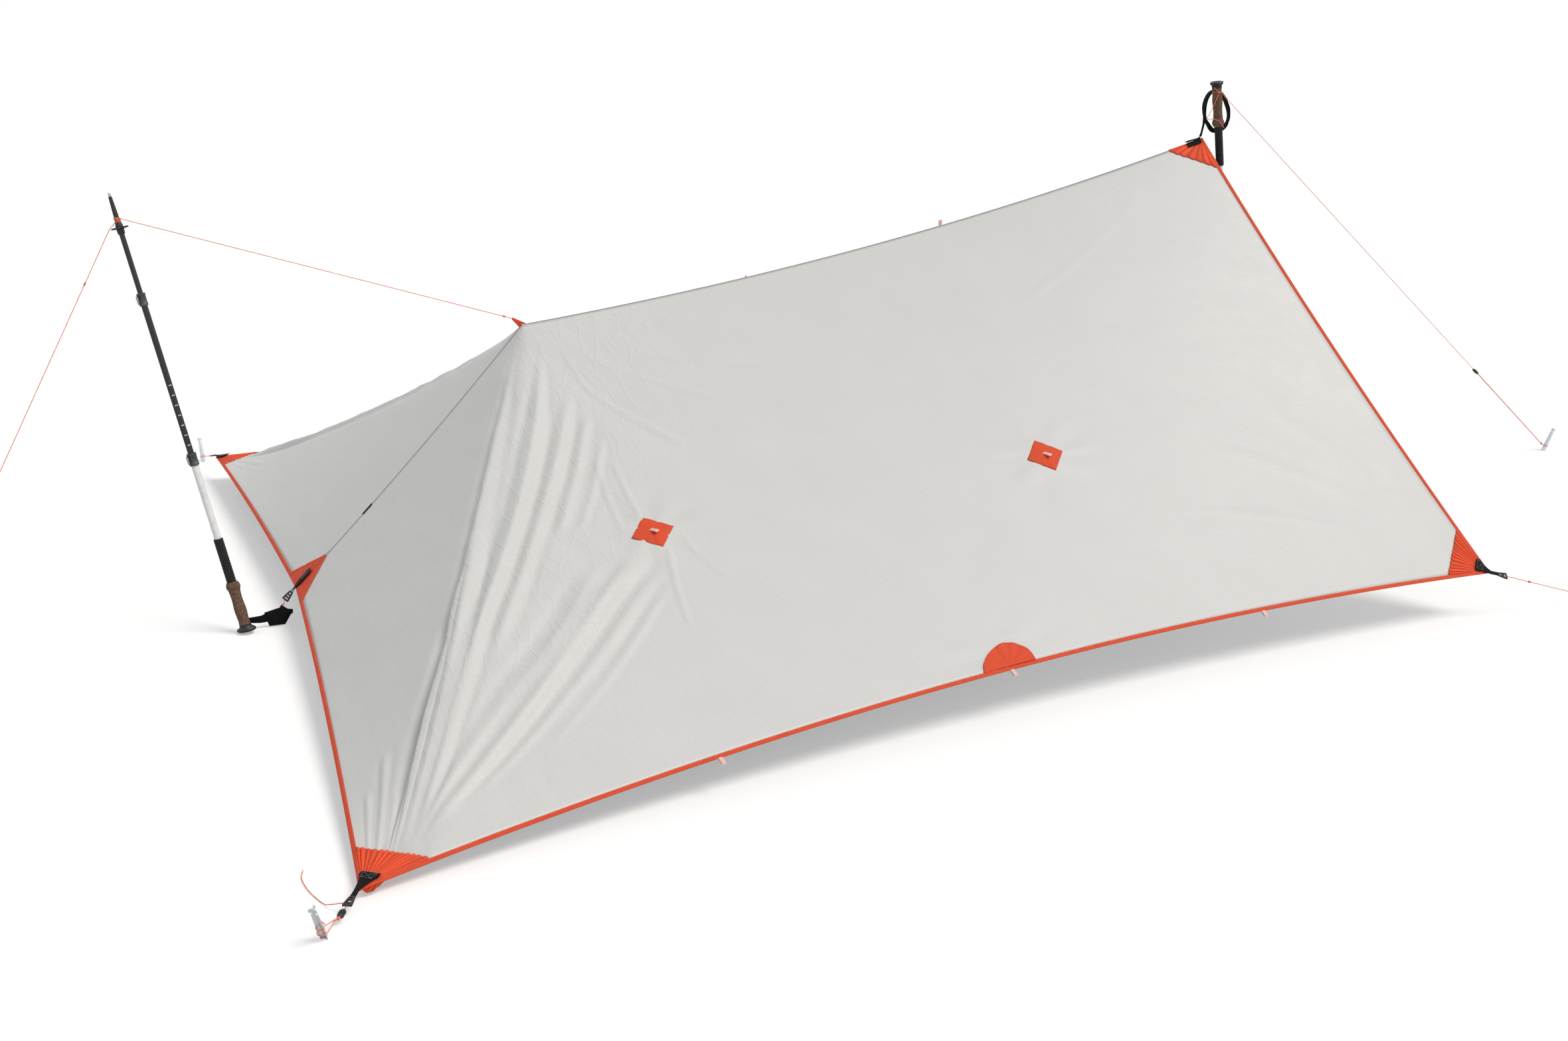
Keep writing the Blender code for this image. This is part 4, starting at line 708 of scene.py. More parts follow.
def loft(rings, closed=False):
    """A skin over rings of equal count, capped at its ends; UVs are metres along and round it."""
    rings = np.asarray([[tuple(p) for p in ring] for ring in rings], float)
    if closed:
        rings = np.concatenate([rings, rings[:1]])
    rows, count = rings.shape[:2]
    steps = np.linalg.norm(np.diff(rings.mean(axis=1), axis=0), axis=1)
    along = np.concatenate([[0.0], np.cumsum(steps)])
    sides = np.linalg.norm(np.roll(rings, -1, axis=1) - rings, axis=2).mean(axis=0)
    around = np.concatenate([[0.0], np.cumsum(sides)])
    last = rows - 1 if closed else rows
    faces, uvs = [], []
    for k in range(rows - 1):
        a, b = k * count, (k + 1) % last * count if closed else (k + 1) * count
        for i in range(count):
            j = (i + 1) % count
            faces.append((a + i, a + j, b + j, b + i))
            corners = ((k, i), (k, i + 1), (k + 1, i + 1), (k + 1, i))
            uvs += [(along[row], around[column]) for row, column in corners]
    if not closed:
        for row in (0, rows - 1):
            faces.append(tuple(row * count + i for i in range(count)))
            uvs += [(along[row], around[i]) for i in range(count)]
    return rings[:last].reshape(-1, 3), faces, uvs


def tube(points, radius, sides=10):
    """A round cord along points, with rounded ends."""
    places = [Vector(p) for p in points]
    ways = [(b - a).normalized() for a, b in zip(places, places[1:])]
    ways = [ways[0]] + [(a + b).normalized() for a, b in zip(ways, ways[1:])] + [ways[-1]]
    side = ways[0].orthogonal().normalized()
    rings = []

    def ring(centre, way, across, r):
        up = way.cross(across)
        turns = [2 * pi * i / sides for i in range(sides)]
        return [centre + (across * cos(a) + up * sin(a)) * r for a in turns]

    for k, (place, way) in enumerate(zip(places, ways)):
        side = (side - way * side.dot(way)).normalized()
        if k == 0:
            rings.append(ring(place, way, side, radius * 0.55))
            place = place + way * radius * 0.4
        if k == len(places) - 1:
            rings.append(ring(place - way * radius * 0.4, way, side, radius))
            rings.append(ring(place, way, side, radius * 0.55))
        else:
            rings.append(ring(place, way, side, radius))
    return loft(rings)


def rounded_section(centre, across, up, width, height, corner=0.45, steps=3):
    """A flat strap's section with rounded edges."""
    centre, across, up = Vector(centre), Vector(across), Vector(up)
    radius = min(width, height) * corner
    points = []
    for quarter, (x, y) in enumerate(((1, 1), (-1, 1), (-1, -1), (1, -1))):
        middle = (x * (width / 2 - radius), y * (height / 2 - radius))
        for i in range(steps + 1):
            angle = pi / 2 * (quarter + i / steps)
            a = middle[0] + radius * cos(angle)
            b = middle[1] + radius * sin(angle)
            points.append(centre + across * a + up * b)
    return points


def strap(stations, steps=6, closed=False):
    """A strap through stations of centre, across, up, width and height, smoothed between them."""
    packed = [(*frame, (width, height, 0)) for *frame, width, height in stations]
    columns = [curve_through(column, steps) for column in zip(*packed)]
    rings = []
    for centre, across, up, size in zip(*columns):
        across = across.normalized()
        up = (up - across * up.dot(across)).normalized()
        rings.append(rounded_section(centre, across, up, size.x, size.y))
    return loft(rings, closed)


def stitch_tree():
    """Geometry nodes that lay stitches along a path of edges."""
    tree = bpy.data.node_groups.new("stitch_run", "GeometryNodeTree")
    face = tree.interface
    face.new_socket("Path", in_out="INPUT", socket_type="NodeSocketGeometry")
    for name in ("Spacing", "Stitch Length", "Thread Radius"):
        face.new_socket(name, in_out="INPUT", socket_type="NodeSocketFloat")
    face.new_socket("Thread", in_out="INPUT", socket_type="NodeSocketMaterial")
    face.new_socket("Stitches", in_out="OUTPUT", socket_type="NodeSocketGeometry")
    add = partial(add_node, tree)
    given = add("NodeGroupInput").node.outputs
    path = add("GeometryNodeMeshToCurve", Mesh=given["Path"])
    spaced = add("GeometryNodeResampleCurve", mode="LENGTH", Curve=path, Length=given["Spacing"])
    radius, depth = given["Thread Radius"], given["Stitch Length"]
    thread = add("GeometryNodeMeshCylinder", Vertices=6, Radius=radius, Depth=depth)
    way = add("GeometryNodeInputTangent")
    turn = add("FunctionNodeAlignRotationToVector", axis="Z", Vector=way)
    laid = add("GeometryNodeInstanceOnPoints", Points=spaced, Instance=thread, Rotation=turn)
    real = add("GeometryNodeRealizeInstances", Geometry=laid)
    coloured = add("GeometryNodeSetMaterial", Geometry=real, Material=given["Thread"])
    add("NodeGroupOutput", Stitches=coloured)
    return tree


def add_stitches(name, runs, finish, slot):
    """Rows of stitches along runs of points, as one plain mesh."""
    sewing = bpy.context.scene.tarp_sewing
    material = finish_of(finish)
    points, edges = [], []
    for run in runs:
        start = len(points)
        points += [tuple(Vector(p) + PITCH) for p in run]
        edges += [(start + i, start + i + 1) for i in range(len(run) - 1)]
    mesh = bpy.data.meshes.new(name)
    mesh.from_pydata(points, edges, [])
    path = new_object(name + "_path", mesh)
    layer = path.modifiers.new("stitches", "NODES")
    tree = bpy.data.node_groups.get("stitch_run") or stitch_tree()
    layer.node_group = tree
    keys = {item.name: item.identifier for item in tree.interface.items_tree if item.in_out == "INPUT"}
    layer[keys["Spacing"]] = sewing.stitch_spacing
    layer[keys["Stitch Length"]] = sewing.stitch_spacing * 0.72
    layer[keys["Thread Radius"]] = sewing.thread_diameter / 2
    layer[keys["Thread"]] = material
    graph = bpy.context.evaluated_depsgraph_get()
    result = bpy.data.meshes.new_from_object(path.evaluated_get(graph))
    bpy.data.objects.remove(path, do_unlink=True)
    result.name = name
    if not result.materials:
        result.materials.append(material)
    result.shade_smooth()
    result.set_sharp_from_angle(angle=radians(40.0))
    return dress(new_object(name, result), slot)


def vec(p):
    return Vector([float(x) for x in p])


def hem_line(near, far):
    """Places and normals round the whole hem."""
    stations = []
    for panel in (near, far):
        run = [(panel.high_hem(t), panel.normal(2.0, t)) for t in np.linspace(0, 1, 46)]
        run += [(panel.long_hem(m), panel.normal(1 + m, 1.0)) for m in np.linspace(1, 0, 150)[1:]]
        run += [(panel.low_hem(t), panel.normal(0.0, t)) for t in np.linspace(1, 0, 46)[1:]]
        stations += run if panel is near else run[::-1][1:-1]
    return stations


def outward_ways(stations):
    """The way out of the cloth at each station, lengthened where the hem turns a corner."""
    ways = []
    count = len(stations)
    for k, (here, up) in enumerate(stations):
        before, after = stations[k - 1][0], stations[(k + 1) % count][0]
        first = unit(np.cross(up, here - before))
        second = unit(np.cross(up, after - here))
        ways.append((first + second) / max(0.6, 1 + first.dot(second)))
    return ways


def add_binding(near, far):
    stations = hem_line(near, far)
    ways = outward_ways(stations)
    rings, runs = [], []
    for (here, up), out in zip(stations, ways):
        middle = here + out * (HEM_GAP + HEM_WIDTH / 2 - 0.0012)
        rings.append(rounded_section(middle, out, up, HEM_WIDTH + 0.0022, 0.0032, 0.48, 4))
        runs.append(middle - out * 0.0025 + up * 0.0017)
    put("binding", loft(rings, closed=True), "binding", 50.0, "binding", "hem_binding")
    add_stitches("binding_stitches", [runs + runs[:1]], "thread", "binding")


def loop_shape(foot, across, out, up, width, length):
    """A tape folded into a flat loop: out, round and back, its two layers just apart."""
    layer = 0.0008
    places = [(-0.35, 1), (0.0, 1), (0.45, 1.5), (0.85, 1.3), (1.0, 0)]
    places += [(share, -side) for share, side in places[3::-1]]
    route = [foot + out * length * share + up * layer * side for share, side in places]
    curve = curve_through(route, 4)
    rings = []
    for k, place in enumerate(curve):
        way = (curve[min(k + 1, len(curve) - 1)] - curve[max(k - 1, 0)]).normalized()
        rings.append(rounded_section(place, across, way.cross(across).normalized(), width, 0.0009, 0.4, 2))
    return loft(rings)


def add_hem_loops(panels):
    shapes = []
    for panel in panels:
        for m in LOOPS_AT:
            place = vec(panel.long_hem(m - 1))
            way = vec(panel.long_hem(m - 1 + 0.01) - panel.long_hem(m - 1 - 0.01)).normalized()
            up = vec(panel.normal(m, 1.0))
            out = way.cross(up).normalized()
            out = out if out.y * panel.sign > 0 else -out
            foot = place + out * (HEM_GAP + HEM_WIDTH)
            shapes.append(loop_shape(foot, way, out, up, LOOP_WIDTH, LOOP_LENGTH))
    put("hem_loops", joined(shapes), "striped", 45.0, "binding")


def patch_grid(panel, which, beyond=0.007):
    """Where a corner patch lies: its rim, and the way on over the cloth at each of its columns."""
    leg = PATCH_LEG / panel.long
    half = 6 * PLEATS + 1
    s = np.linspace(2 - leg, 2, 2 * half - 1)
    if which == "low":
        s = np.concatenate([np.linspace(0, 1, half), np.linspace(1, 1 + leg, half)[1:]])
    edge = panel.bare(s, np.array([1 - 2 * beyond, 1 - beyond, 1.0]))[2]
    return edge[:, 2], unit(edge[:, 1] - edge[:, 2]) * beyond


def pleated(corner, rim, run, ups, pleats, depth, rows=20):
    """A pleated patch: uneven pleats that open from its corner to its wavy inner edge. It gives the
    surface, its UVs, and how far each point stands in a valley (-1) or on a crest (1), for the
    painted shade in the valleys and the painted light on the crests."""
    share = np.linspace(0, 1, len(rim))
    uneven = share + 0.013 * np.sin(9.1 * share + 0.6) + 0.006 * np.sin(31.0 * share)
    phase = 2 * np.pi * pleats * uneven
    wave = (0.5 - 0.5 * np.cos(phase + 0.7 * np.sin(phase))) * (0.78 + 0.22 * np.sin(17.0 * share + 1.0))
    grid, folds = [], []
    ends = ease(share / 0.03) * ease((1 - share) / 0.03)
    for r in np.concatenate([np.linspace(0.04, 1.0, rows), [1.05, 1.09]]):
        past = max(r - 1, 0.0) / 0.09
        flat = corner + (rim - corner) * min(r, 1.0) + run * (past * (0.45 + 0.45 * wave))[:, None]
        fade = ease(r / 0.25) * (1 - 0.6 * past)
        grid.append(flat + ups * (PATCH_LIFT + depth * wave * r * fade * (0.25 + 0.75 * ends))[:, None])
        # Painted shading values: darkest deep in a valley, lightest on a crest.
        folds.append((1 - 2 * (1 - wave) ** 1.6) * ends * ease(r / 0.12) * min(depth / 0.003, 1.0))
    grid = np.array(grid)
    u = np.broadcast_to(share[None, :], grid.shape[:2]) * 0.18
    v = np.linspace(0, 0.14, len(grid))[:, None] + np.zeros(len(rim))
    return grid, np.stack([u, v], axis=-1), np.array(folds)


def add_sheet(name, grid, uv, finish, up, thickness=PATCH_THICK, offset=-1.0, **marks):
    """A sheet over a grid of points, its face turned one way, with its cloth's thickness and the
    numbers for each point that its material reads."""
    made = add_piece(name, sheet_shape(grid, uv), finish, 180.0, closed=False)
    for key, values in marks.items():
        layer = made.data.attributes.new(key, "FLOAT", "POINT")
        layer.data.foreach_set("value", np.asarray(values, np.float32).ravel())
    total = sum((Vector(face.normal) * face.area for face in made.data.polygons), Vector())
    if total.dot(vec(up)) < 0:
        made.data.flip_normals()
    shell = made.modifiers.new("thickness", "SOLIDIFY")
    shell.thickness = thickness
    shell.offset = offset
    return made


def add_corner_patch(panel, which, runs):
    rim, run = patch_grid(panel, which)
    up = panel.corner_up(which)
    ups = np.broadcast_to(up, rim.shape)
    grid, uv, folds = pleated(panel.corner(which), rim, run, ups, PLEATS, 0.004)
    name = "corner_patch_" + panel.side + "_" + which
    made = add_sheet("pleated_" + name, grid, uv, "binding", up, fold=folds)
    dress(made, "binding", name)
    runs.append(list(grid[-4] + ups * THREAD_RISE))


def add_gathered_tip(panel, which):
    """The surplus cloth of a corner patch, gathered under the corner and hanging below the hem."""
    corner = panel.corner(which)
    along = unit(panel.long_hem(0.05) - corner)
    out = np.array((0.0, panel.sign, 0.0))
    share = np.linspace(0, 1, 31)[None, :, None]
    drop = np.linspace(0, 1, 9)[:, None, None]
    hang = 0.015 * np.sin(np.pi * share**0.6)
    pleat = 0.0014 * np.cos(2 * np.pi * (4 * share + 1.3 * drop)) * np.sin(np.pi * share)
    bulge = 0.0045 + pleat + 0.004 * np.sin(np.pi * drop) * share
    grid = corner + along * (0.048 * share - 0.002) + out * bulge - UP * (0.0015 + hang * drop)
    uv = np.concatenate([share + 0 * drop, drop + 0 * share], axis=-1) * 0.04
    name = "gathered_tip_" + panel.side + "_" + which
    # Painted shade in the hollows of the pleats and painted light on their ridges.
    folds = np.broadcast_to(600 * pleat, grid.shape[:2] + (1,))
    dress(add_sheet(name, grid, uv, "binding", out, 0.0008, fold=folds), "binding")


def add_ridge_patch(near, far, which, runs):
    """A patch folded over the ridge's end: smooth with a seam at the low end, pleated at the tall."""
    corner = LOW if which == "low" else HIGH
    low_end = which == "low"
    rims, ways = [], []
    for panel in (near, far):
        apex = panel.apex(which)
        s = np.linspace(0, apex, 50) if low_end else np.linspace(apex, 2, 50)[::-1]
        edge = panel.bare(s, np.array([0.0, 0.006]))[2]
        rims.append(edge[:, 0])
        ways.append(unit(edge[:, 1] - edge[:, 0]) * 0.007)
    side_up = [unit(np.cross(rim[0] - corner, rim[-1] - corner)) for rim in rims]
    side_up = [u * np.sign(u[2]) for u in side_up]
    rim = np.concatenate([rims[0], rims[1][::-1][1:]])
    run = np.concatenate([ways[0], ways[1][::-1][1:]])
    share = ease(np.linspace(-8, 9, len(rim)))[:, None]
    ups = unit(mix(side_up[0], side_up[1], share))
    pleats = 5 if low_end else PLEATS
    depth = 0.0006 if low_end else 0.003
    grid, uv, folds = pleated(corner, rim, run, ups, pleats, depth)
    # The middle columns, along the ridge that the patch is folded over, take a dark seam line.
    if low_end:
        folds[:, len(rim) // 2 - 1 : len(rim) // 2 + 2] = -0.8
    name = "ridge_patch_" + which
    made = add_sheet("folded_" + name, grid, uv, "binding", UP, fold=folds)
    dress(made, "binding", name)
    runs.append(list(grid[-4] + ups * THREAD_RISE))


def add_seam(near):
    """The felled ridge seam under its tape, with a darker mend of tape and a small loop."""
    low, high = near.apex("low"), near.apex("high")
    places = np.linspace(low + 0.004, high - 0.002, 160)
    line = near.ridge(places)
    wobble = [noise.noise(Vector((x * 14.0, 0.0, 3.0))) for x in places]
    rings = []
    for p, w in zip(line, wobble):
        height = (0.0026 + 0.0006 * w) * (1 - 0.5 * float(ease((p[0] - RIDGE_PEAK.x) / 0.3)))
        rings.append(rounded_section(p + UP * 0.0002, (0, 1, 0), UP, 0.0062, height, 0.48, 4))
    put("ridge_tape", loft(rings), "seam", 60.0, "seam", "ridge_seam")
    tape_at = near.ridge(np.linspace(0.285, 0.325, 12))
    tape = [rounded_section(p + UP * 0.0007, (0, 1, 0), UP, 0.0105, 0.0042, 0.48, 3) for p in tape_at]
    put("ridge_tape_patch", loft(tape), "webbing", 60.0, "seam")
    shapes = []
    for s, width, length in ((1 + RIDGE_LOOP_AT, LOOP_WIDTH, LOOP_LENGTH), (1.3, 0.005, 0.004)):
        foot = vec(near.ridge(s)) + Vector((0, 0, 0.0012))
        way = vec(near.ridge(s + 0.01) - near.ridge(s - 0.01)).normalized()
        shapes.append(loop_shape(foot, way, Vector((0, 0, 1)), Vector((0, -1, 0)), width, length))
    put("ridge_loops", joined(shapes), "striped", 45.0, "binding")
    runs = [[p + UP * 0.001 + np.array((0, y, 0)) for p in line] for y in (-0.0017, 0.0017)]
    add_stitches("ridge_stitches", runs, "pale_thread", "seam")


def add_pull_out(panel, which, runs):
    """A square patch set on its corner, puckered by its seam, with a folded loop tacked on."""
    s, t = PULL_OUTS[which]
    centre = vec(panel.point(s, t))
    up = vec(panel.normal(s, t))
    along = vec(panel.point(s + 0.02, t) - panel.point(s - 0.02, t)).normalized()
    down = up.cross(along).normalized()
    down = down if (vec(panel.point(s, t + 0.02)) - centre).dot(down) > 0 else -down
    reach = 0.075 / sqrt(2)
    count = 25
    grid, uv = [], []
    corners = [centre + along * reach, centre + down * reach, centre - along * reach, centre - down * reach]
    for i in range(count):
        row = []
        for j in range(count):
            a, b = i / (count - 1), j / (count - 1)
            p = corners[0].lerp(corners[1], a).lerp(corners[3].lerp(corners[2], a), b)
            rim = max(abs(a - 0.5), abs(b - 0.5)) * 2
            angle = atan2(b - 0.5, a - 0.5)
            dome = 0.0042 * (1 - rim**2)
            pucker = 0.0009 * rim * (1 - rim * 0.4) * cos(9 * angle + 0.5)
            row.append(p + up * (0.003 + dome + pucker))
            uv.append((a * 0.075, b * 0.075))
        grid.append(row)
    name = "pull_out_" + panel.side + "_" + which
    dress(add_sheet(name + "_patch", grid, uv, "binding", up, offset=1.0), "binding", name)
    foot = centre + up * 0.0082
    lying = (along * 0.35 + down * 0.94).normalized()
    side = up.cross(lying).normalized()
    tape = loop_shape(foot - lying * 0.004, side, (lying + up * 0.45).normalized(), up, LOOP_WIDTH, 0.02)
    put(name + "_loop", tape, "striped", 45.0, "binding")
    near, far = 0.06 * (count - 1), 0.94 * (count - 1)
    inset = ((near, near), (far, near), (far, far), (near, far), (near, near))
    run = []
    for (i0, j0), (i1, j1) in zip(inset, inset[1:]):
        for share in range(12):
            i, j = mix(i0, i1, share / 12), mix(j0, j1, share / 12)
            run.append(grid[round(i)][round(j)] + up * 0.0012)
    runs.append(run)


def add_edge_patch(panel, runs):
    """The half-round patch at the middle of a long side, puckered towards its loop."""
    grid, uv = [], []
    half, depth = 0.07, 0.066
    for i in range(49):
        x = -1 + 2 * i / 48
        m = 0.5 + x * half / panel.long
        reach = depth * sqrt(max(1 - abs(x) ** 1.6, 0.0)) + 0.003
        row = []
        for j in range(17):
            share = j / 16
            whole = np.linalg.norm(panel.point(1 + m, 1.0) - panel.point(1 + m, 0.0))
            t = 1 - reach * share / whole
            p = vec(panel.point(1 + m, t))
            up = vec(panel.normal(1 + m, min(t, 0.95)))
            angle = atan2(share * reach, x * half)
            radius = hypot(share * reach, x * half)
            pucker = 0.0008 * cos(11 * angle) * min(radius / 0.03, 1.0)
            row.append(p + up * (0.0024 + pucker))
            uv.append((m * panel.long, share * reach))
        grid.append(row)
    facing = panel.normal(1.5, 0.9)
    made = add_sheet("edge_patch_" + panel.side, grid, uv, "binding", facing, offset=1.0)
    dress(made, "binding")
    runs.append([row[14] + up * 0.0012 for row in grid[2:-2]])


def lock_shape(start, out, side, over, length, width, thick):
    """A line lock: two rails joined by four bars, the first toothed, as a ladder buckle."""
    shapes = []
    for sign in (-1, 1):
        rail = []
        sizes = ((0.0, 0.7, 0.7), (0.12, 1.0, 1.0), (0.5, 1.0, 1.1), (0.88, 1.0, 1.0), (1.0, 0.7, 0.7))
        for share, w, h in sizes:
            inset = 0.2 + 0.22 * share
            place = start + out * length * share + side * (width * inset * sign)
            rail.append((place, side, over, width * 0.21 * w, thick * h))
        shapes.append(strap(rail, 3))
    for share, lift, deep in ((0.05, 0.0, 0.8), (0.36, 0.12, 0.62), (0.66, -0.12, 0.62), (0.95, 0.1, 0.8)):
        place = start + out * length * share + over * thick * lift
        half = width * (0.23 + 0.22 * share)
        ends = (place - side * half, place, place + side * half)
        bar = [(p, out, over, length * 0.19, thick * deep) for p in ends]
        shapes.append(strap(bar, 3))
    return joined(shapes)


TAB_RISE = 0.002 + 0.0009 + 0.0008
HEM_REACH = (HEM_GAP + HEM_WIDTH) * sqrt(2)
LOCK_LENGTH = 0.026
LOCK_WIDTH = 0.018
LOCK_THICK = 0.005


def add_tab(name, corner, inward, up, target, wide, inside, run, runs, facing=None):
    """Webbing sewn on at a corner, over the binding and out to its line lock. With a way to face,
    it is a square-ended band that twists at the hem into two strands, its lock turned that way."""
    corner, inward, up = (vec(p) for p in (corner, inward, up))
    sewn_side = up.cross(-inward).normalized()
    sewn = corner + up * TAB_RISE
    start = sewn - inward * HEM_REACH
    out = (target - start).normalized()
    side = out.cross(up).normalized() * -1
    over = side.cross(out).normalized()
    over = over if over.dot(up) > 0 else -over
    side = side if side.dot(sewn_side) > 0 else -side
    stations = []
    sewn_part = ((1.0, 0.95, 0.0026), (0.72, 1.0, 0.0024), (0.3, 0.62, 0.0008))
    if facing:
        sewn_part = ((1.0, 1.15, 0.0026), (0.8, 1.15, 0.0024), (0.5, 1.15, 0.0022), (0.2, 1.05, 0.0018))
    for share, width, rise in sewn_part:
        stations.append((sewn + inward * inside * share + up * rise, sewn_side, up, wide * width, 0.0016))
    shapes = []
    if facing:
        stations.append((start - out * 0.003, side, (over + up).normalized(), 0.01, 0.0026))
        stations.append((start + out * 0.001, side, over, 0.006, 0.0024))
        side = out.cross(facing).normalized()
        over = side.cross(out).normalized()
        for sign in (-1, 1):
            a = start - out * 0.003 + side * 0.0012 * sign
            b = start + out * (run + 0.004) + side * 0.0028 * sign
            shapes.append(tube([a, a.lerp(b, 0.5), b], 0.0011, 8))
    else:
        stations.append((start, side, (over + up).normalized(), 0.012, 0.0018))
        stations.append((start + out * run * 0.6, side, over, 0.0105, 0.0022))
        stations.append((start + out * (run + LOCK_LENGTH * 0.12), side, over, 0.012, 0.0016))
    put(name + "_webbing", joined([strap(stations, 8), *shapes]), "webbing", 45.0, "webbing", name)
    lock = lock_shape(start + out * run, out, side, over, LOCK_LENGTH, LOCK_WIDTH, LOCK_THICK)
    put(name + "_lock", lock, "plastic", 40.0, "plastic")
    top = sewn + up * 0.0046
    box = []
    for deep, aside in ((0.93, -0.38), (0.93, 0.38), (0.4, 0.26), (0.4, -0.26)):
        box.append(top + inward * inside * deep + sewn_side * wide * aside)
    for a, b in ((0, 1), (1, 2), (2, 3), (3, 0), (0, 2), (1, 3)):
        runs.append([box[a].lerp(box[b], k / 4) for k in range(5)])
    return start + out * (run + LOCK_LENGTH + 0.0004), out, side


STAKE_LEAN = radians(27.0)
STAKE_LENGTH = 0.18
STAKE_BURIED = 0.093
STAKE_FIN = 0.008
WRAP_HEIGHT = 0.018
SHORTEST_CORD = 0.03
STAKES = {
    "stake_near_low": ((-1.803, -1.616), (-0.49, -0.87)),
    "stake_near_high": ((1.543, -1.175), (0.9, -0.44)),
    "stake_far_low": ((-1.765, 1.79), (-0.12, 0.99)),
    "stake_far_high": ((1.543, 1.175), (0.9, 0.44)),
    "stake_left_guy": ((-2.54, -0.1), (-1.0, 0.0)),
    "stake_right_guy": ((2.74, 0.15), (1.0, 0.0)),
}


def on_peg(name, height):
    """A peg's axis, and the point of it at a height along it above the ground."""
    ground, away = STAKES[name]
    axis = Vector((*away, 0)).normalized() * sin(STAKE_LEAN) + Vector((0, 0, cos(STAKE_LEAN)))
    return axis, Vector((*ground, 0)) + axis * height


def y_ring(z, fin, thick):
    """Section of a three-finned peg with rounded fin ends and filleted valleys."""
    points = []
    for k in range(3):
        angle = pi / 2 + 2 * pi * k / 3
        way = Vector((cos(angle), sin(angle), 0))
        side = Vector((-way.y, way.x, 0)) * (thick / 2)
        valley = angle + pi / 3
        deep = Vector((cos(valley), sin(valley), 0)) * thick * 0.72
        points += [way * (fin - thick * 0.3) - side, way * fin - side * 0.5, way * fin + side * 0.5]
        points += [way * (fin - thick * 0.3) + side, way * thick * 1.2 + side, deep]
        after = Matrix.Rotation(2 * pi / 3, 3, "Z") @ way
        after_side = Vector((-after.y, after.x, 0)) * (thick / 2)
        points.append(after * thick * 1.2 - after_side)
    return [p + Vector((0, 0, z)) for p in points]


def add_stake(name):
    head = STAKE_LENGTH
    profile = (
        (0.0, 0.22), (0.012, 0.55), (0.024, 0.85), (STAKE_LENGTH * 0.68, 1.0), (head - 0.018, 0.8),
        (head - 0.0142, 0.8), (head - 0.0128, 0.5), (head - 0.0094, 0.5), (head - 0.0082, 1.0),
        (head - 0.0015, 1.0), (head, 0.9),
    )
    axis, point = on_peg(name, -STAKE_BURIED)
    place = Matrix.Translation(point) @ axis.to_track_quat("Z", "Y").to_matrix().to_4x4()
    rings = [[place @ p for p in y_ring(z, STAKE_FIN * share, 0.0018)] for z, share in profile]
    return put("peg_" + name[6:], loft(rings), "stake", 30.0, "stake", name)


def wrap_points(centre, axis, radius, towards, sweep, rise=0.0, step=radians(16.0)):
    """A turn of cord round an axis, ending where it leaves straight for a point."""
    axis = axis.normalized()
    way = towards - centre
    way = (way - axis * way.dot(axis)).normalized()
    side = axis.cross(way)
    count = max(2, round(sweep / step))
    points = []
    for i in range(count + 1):
        back = 1 - i / count
        angle = -pi / 2 - sweep * back
        spoke = (way * cos(angle) + side * sin(angle)) * radius
        points.append(centre + spoke + axis * rise * back)
    return points


def stake_wrap(name, towards, sweep=radians(290.0), rise=0.0024):
    axis, centre = on_peg(name, WRAP_HEIGHT)
    return wrap_points(centre, axis, STAKE_FIN + 0.0004 + CORD / 2, towards, sweep, rise)


def knot_shape(at, way, radius, turns=3, length=None):
    """A barrel knot: a few tight turns of the cord round itself."""
    way = way.normalized()
    side = way.orthogonal().normalized()
    up = way.cross(side)
    length = length or turns * CORD * 1.05
    points = []
    steps = turns * 12
    for k in range(steps + 1):
        angle = 2 * pi * turns * k / steps
        along = way * length * (k / steps - 0.5)
        points.append(at + along + (side * cos(angle) + up * sin(angle)) * radius)
    return tube(points, CORD / 2, 8)


def lay_cord(name, points, node=None, knots=(), bend=None, others=()):
    """A cord along points, with its knots."""
    points = [vec(p) for p in points]
    made = put(name, tube(points, CORD / 2, 10), "cord", 60.0, "cord", node, bend=bend)
    pieces = list(others)
    if knots:
        tied = add_piece(name + "_knots", joined(knots), "cord", 60.0)
        pieces.append(dress(tied, "cord", bend=bend))
    length = sum((b - a).length for a, b in zip(points, points[1:]))
    path = [tuple(p + PITCH) for p in points]
    if length >= SHORTEST_CORD:
        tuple(path[0])


LEFT_FOOT = Vector((-1.7856, -0.048, 0.0045))
LEFT_TIP = Vector((-1.9926, 0.107, 1.088))
RIGHT_TOP = Vector((1.066, -0.018, 1.317))
RIGHT_FOOT = Vector((1.25, -0.02, 0.0005))
UPPER_TUBE_START = 0.028
UPPER_TUBE_END = 0.464
UPPER_BORE = 0.0078
UPPER_RADIUS = 0.0088
MID_RADIUS = 0.0075
MID_START = UPPER_TUBE_END - 0.066
MID_END = MID_START + 0.468
LOWER_RADIUS = 0.0062
LOWER_TUBE_LENGTH = 0.432
TIP_LENGTH = 0.1
SOCKET_DEPTH = 0.014
BASKET_FROM_TIP = 0.0845
GRIP_END = 0.132
GRIP_RADIUS = 0.014
FOAM_END = 0.246
FOAM_RADIUS = 0.0118
WAIST_AT = 0.03
LOCK_BODY = 0.031
LUG = 0.005
EYE = 0.0032
STRAP_THICK = 0.0024
STRAP_Y = LEFT_FOOT.y + 0.022
TIE_AT = Vector((-1.696, STRAP_Y + STRAP_THICK + CLEAR + CORD / 2, 0.044))
KNOT_RADIUS = CORD * 0.95
HANG_POINT = Vector((1.05, 0.0045, 1.204))
CORD_LOCK_AT = Vector((-1.769, -1.575, 0.015))
TENSIONER_FROM_GRIP = 1.593
TAIL_ROUTE = (
    (-1.779, -1.524, 0.0085), (-1.791, -1.502, 0.001), (-1.808, -1.45, 0.001), (-1.815, -1.398, 0.001),
    (-1.809, -1.367, 0.001),
)
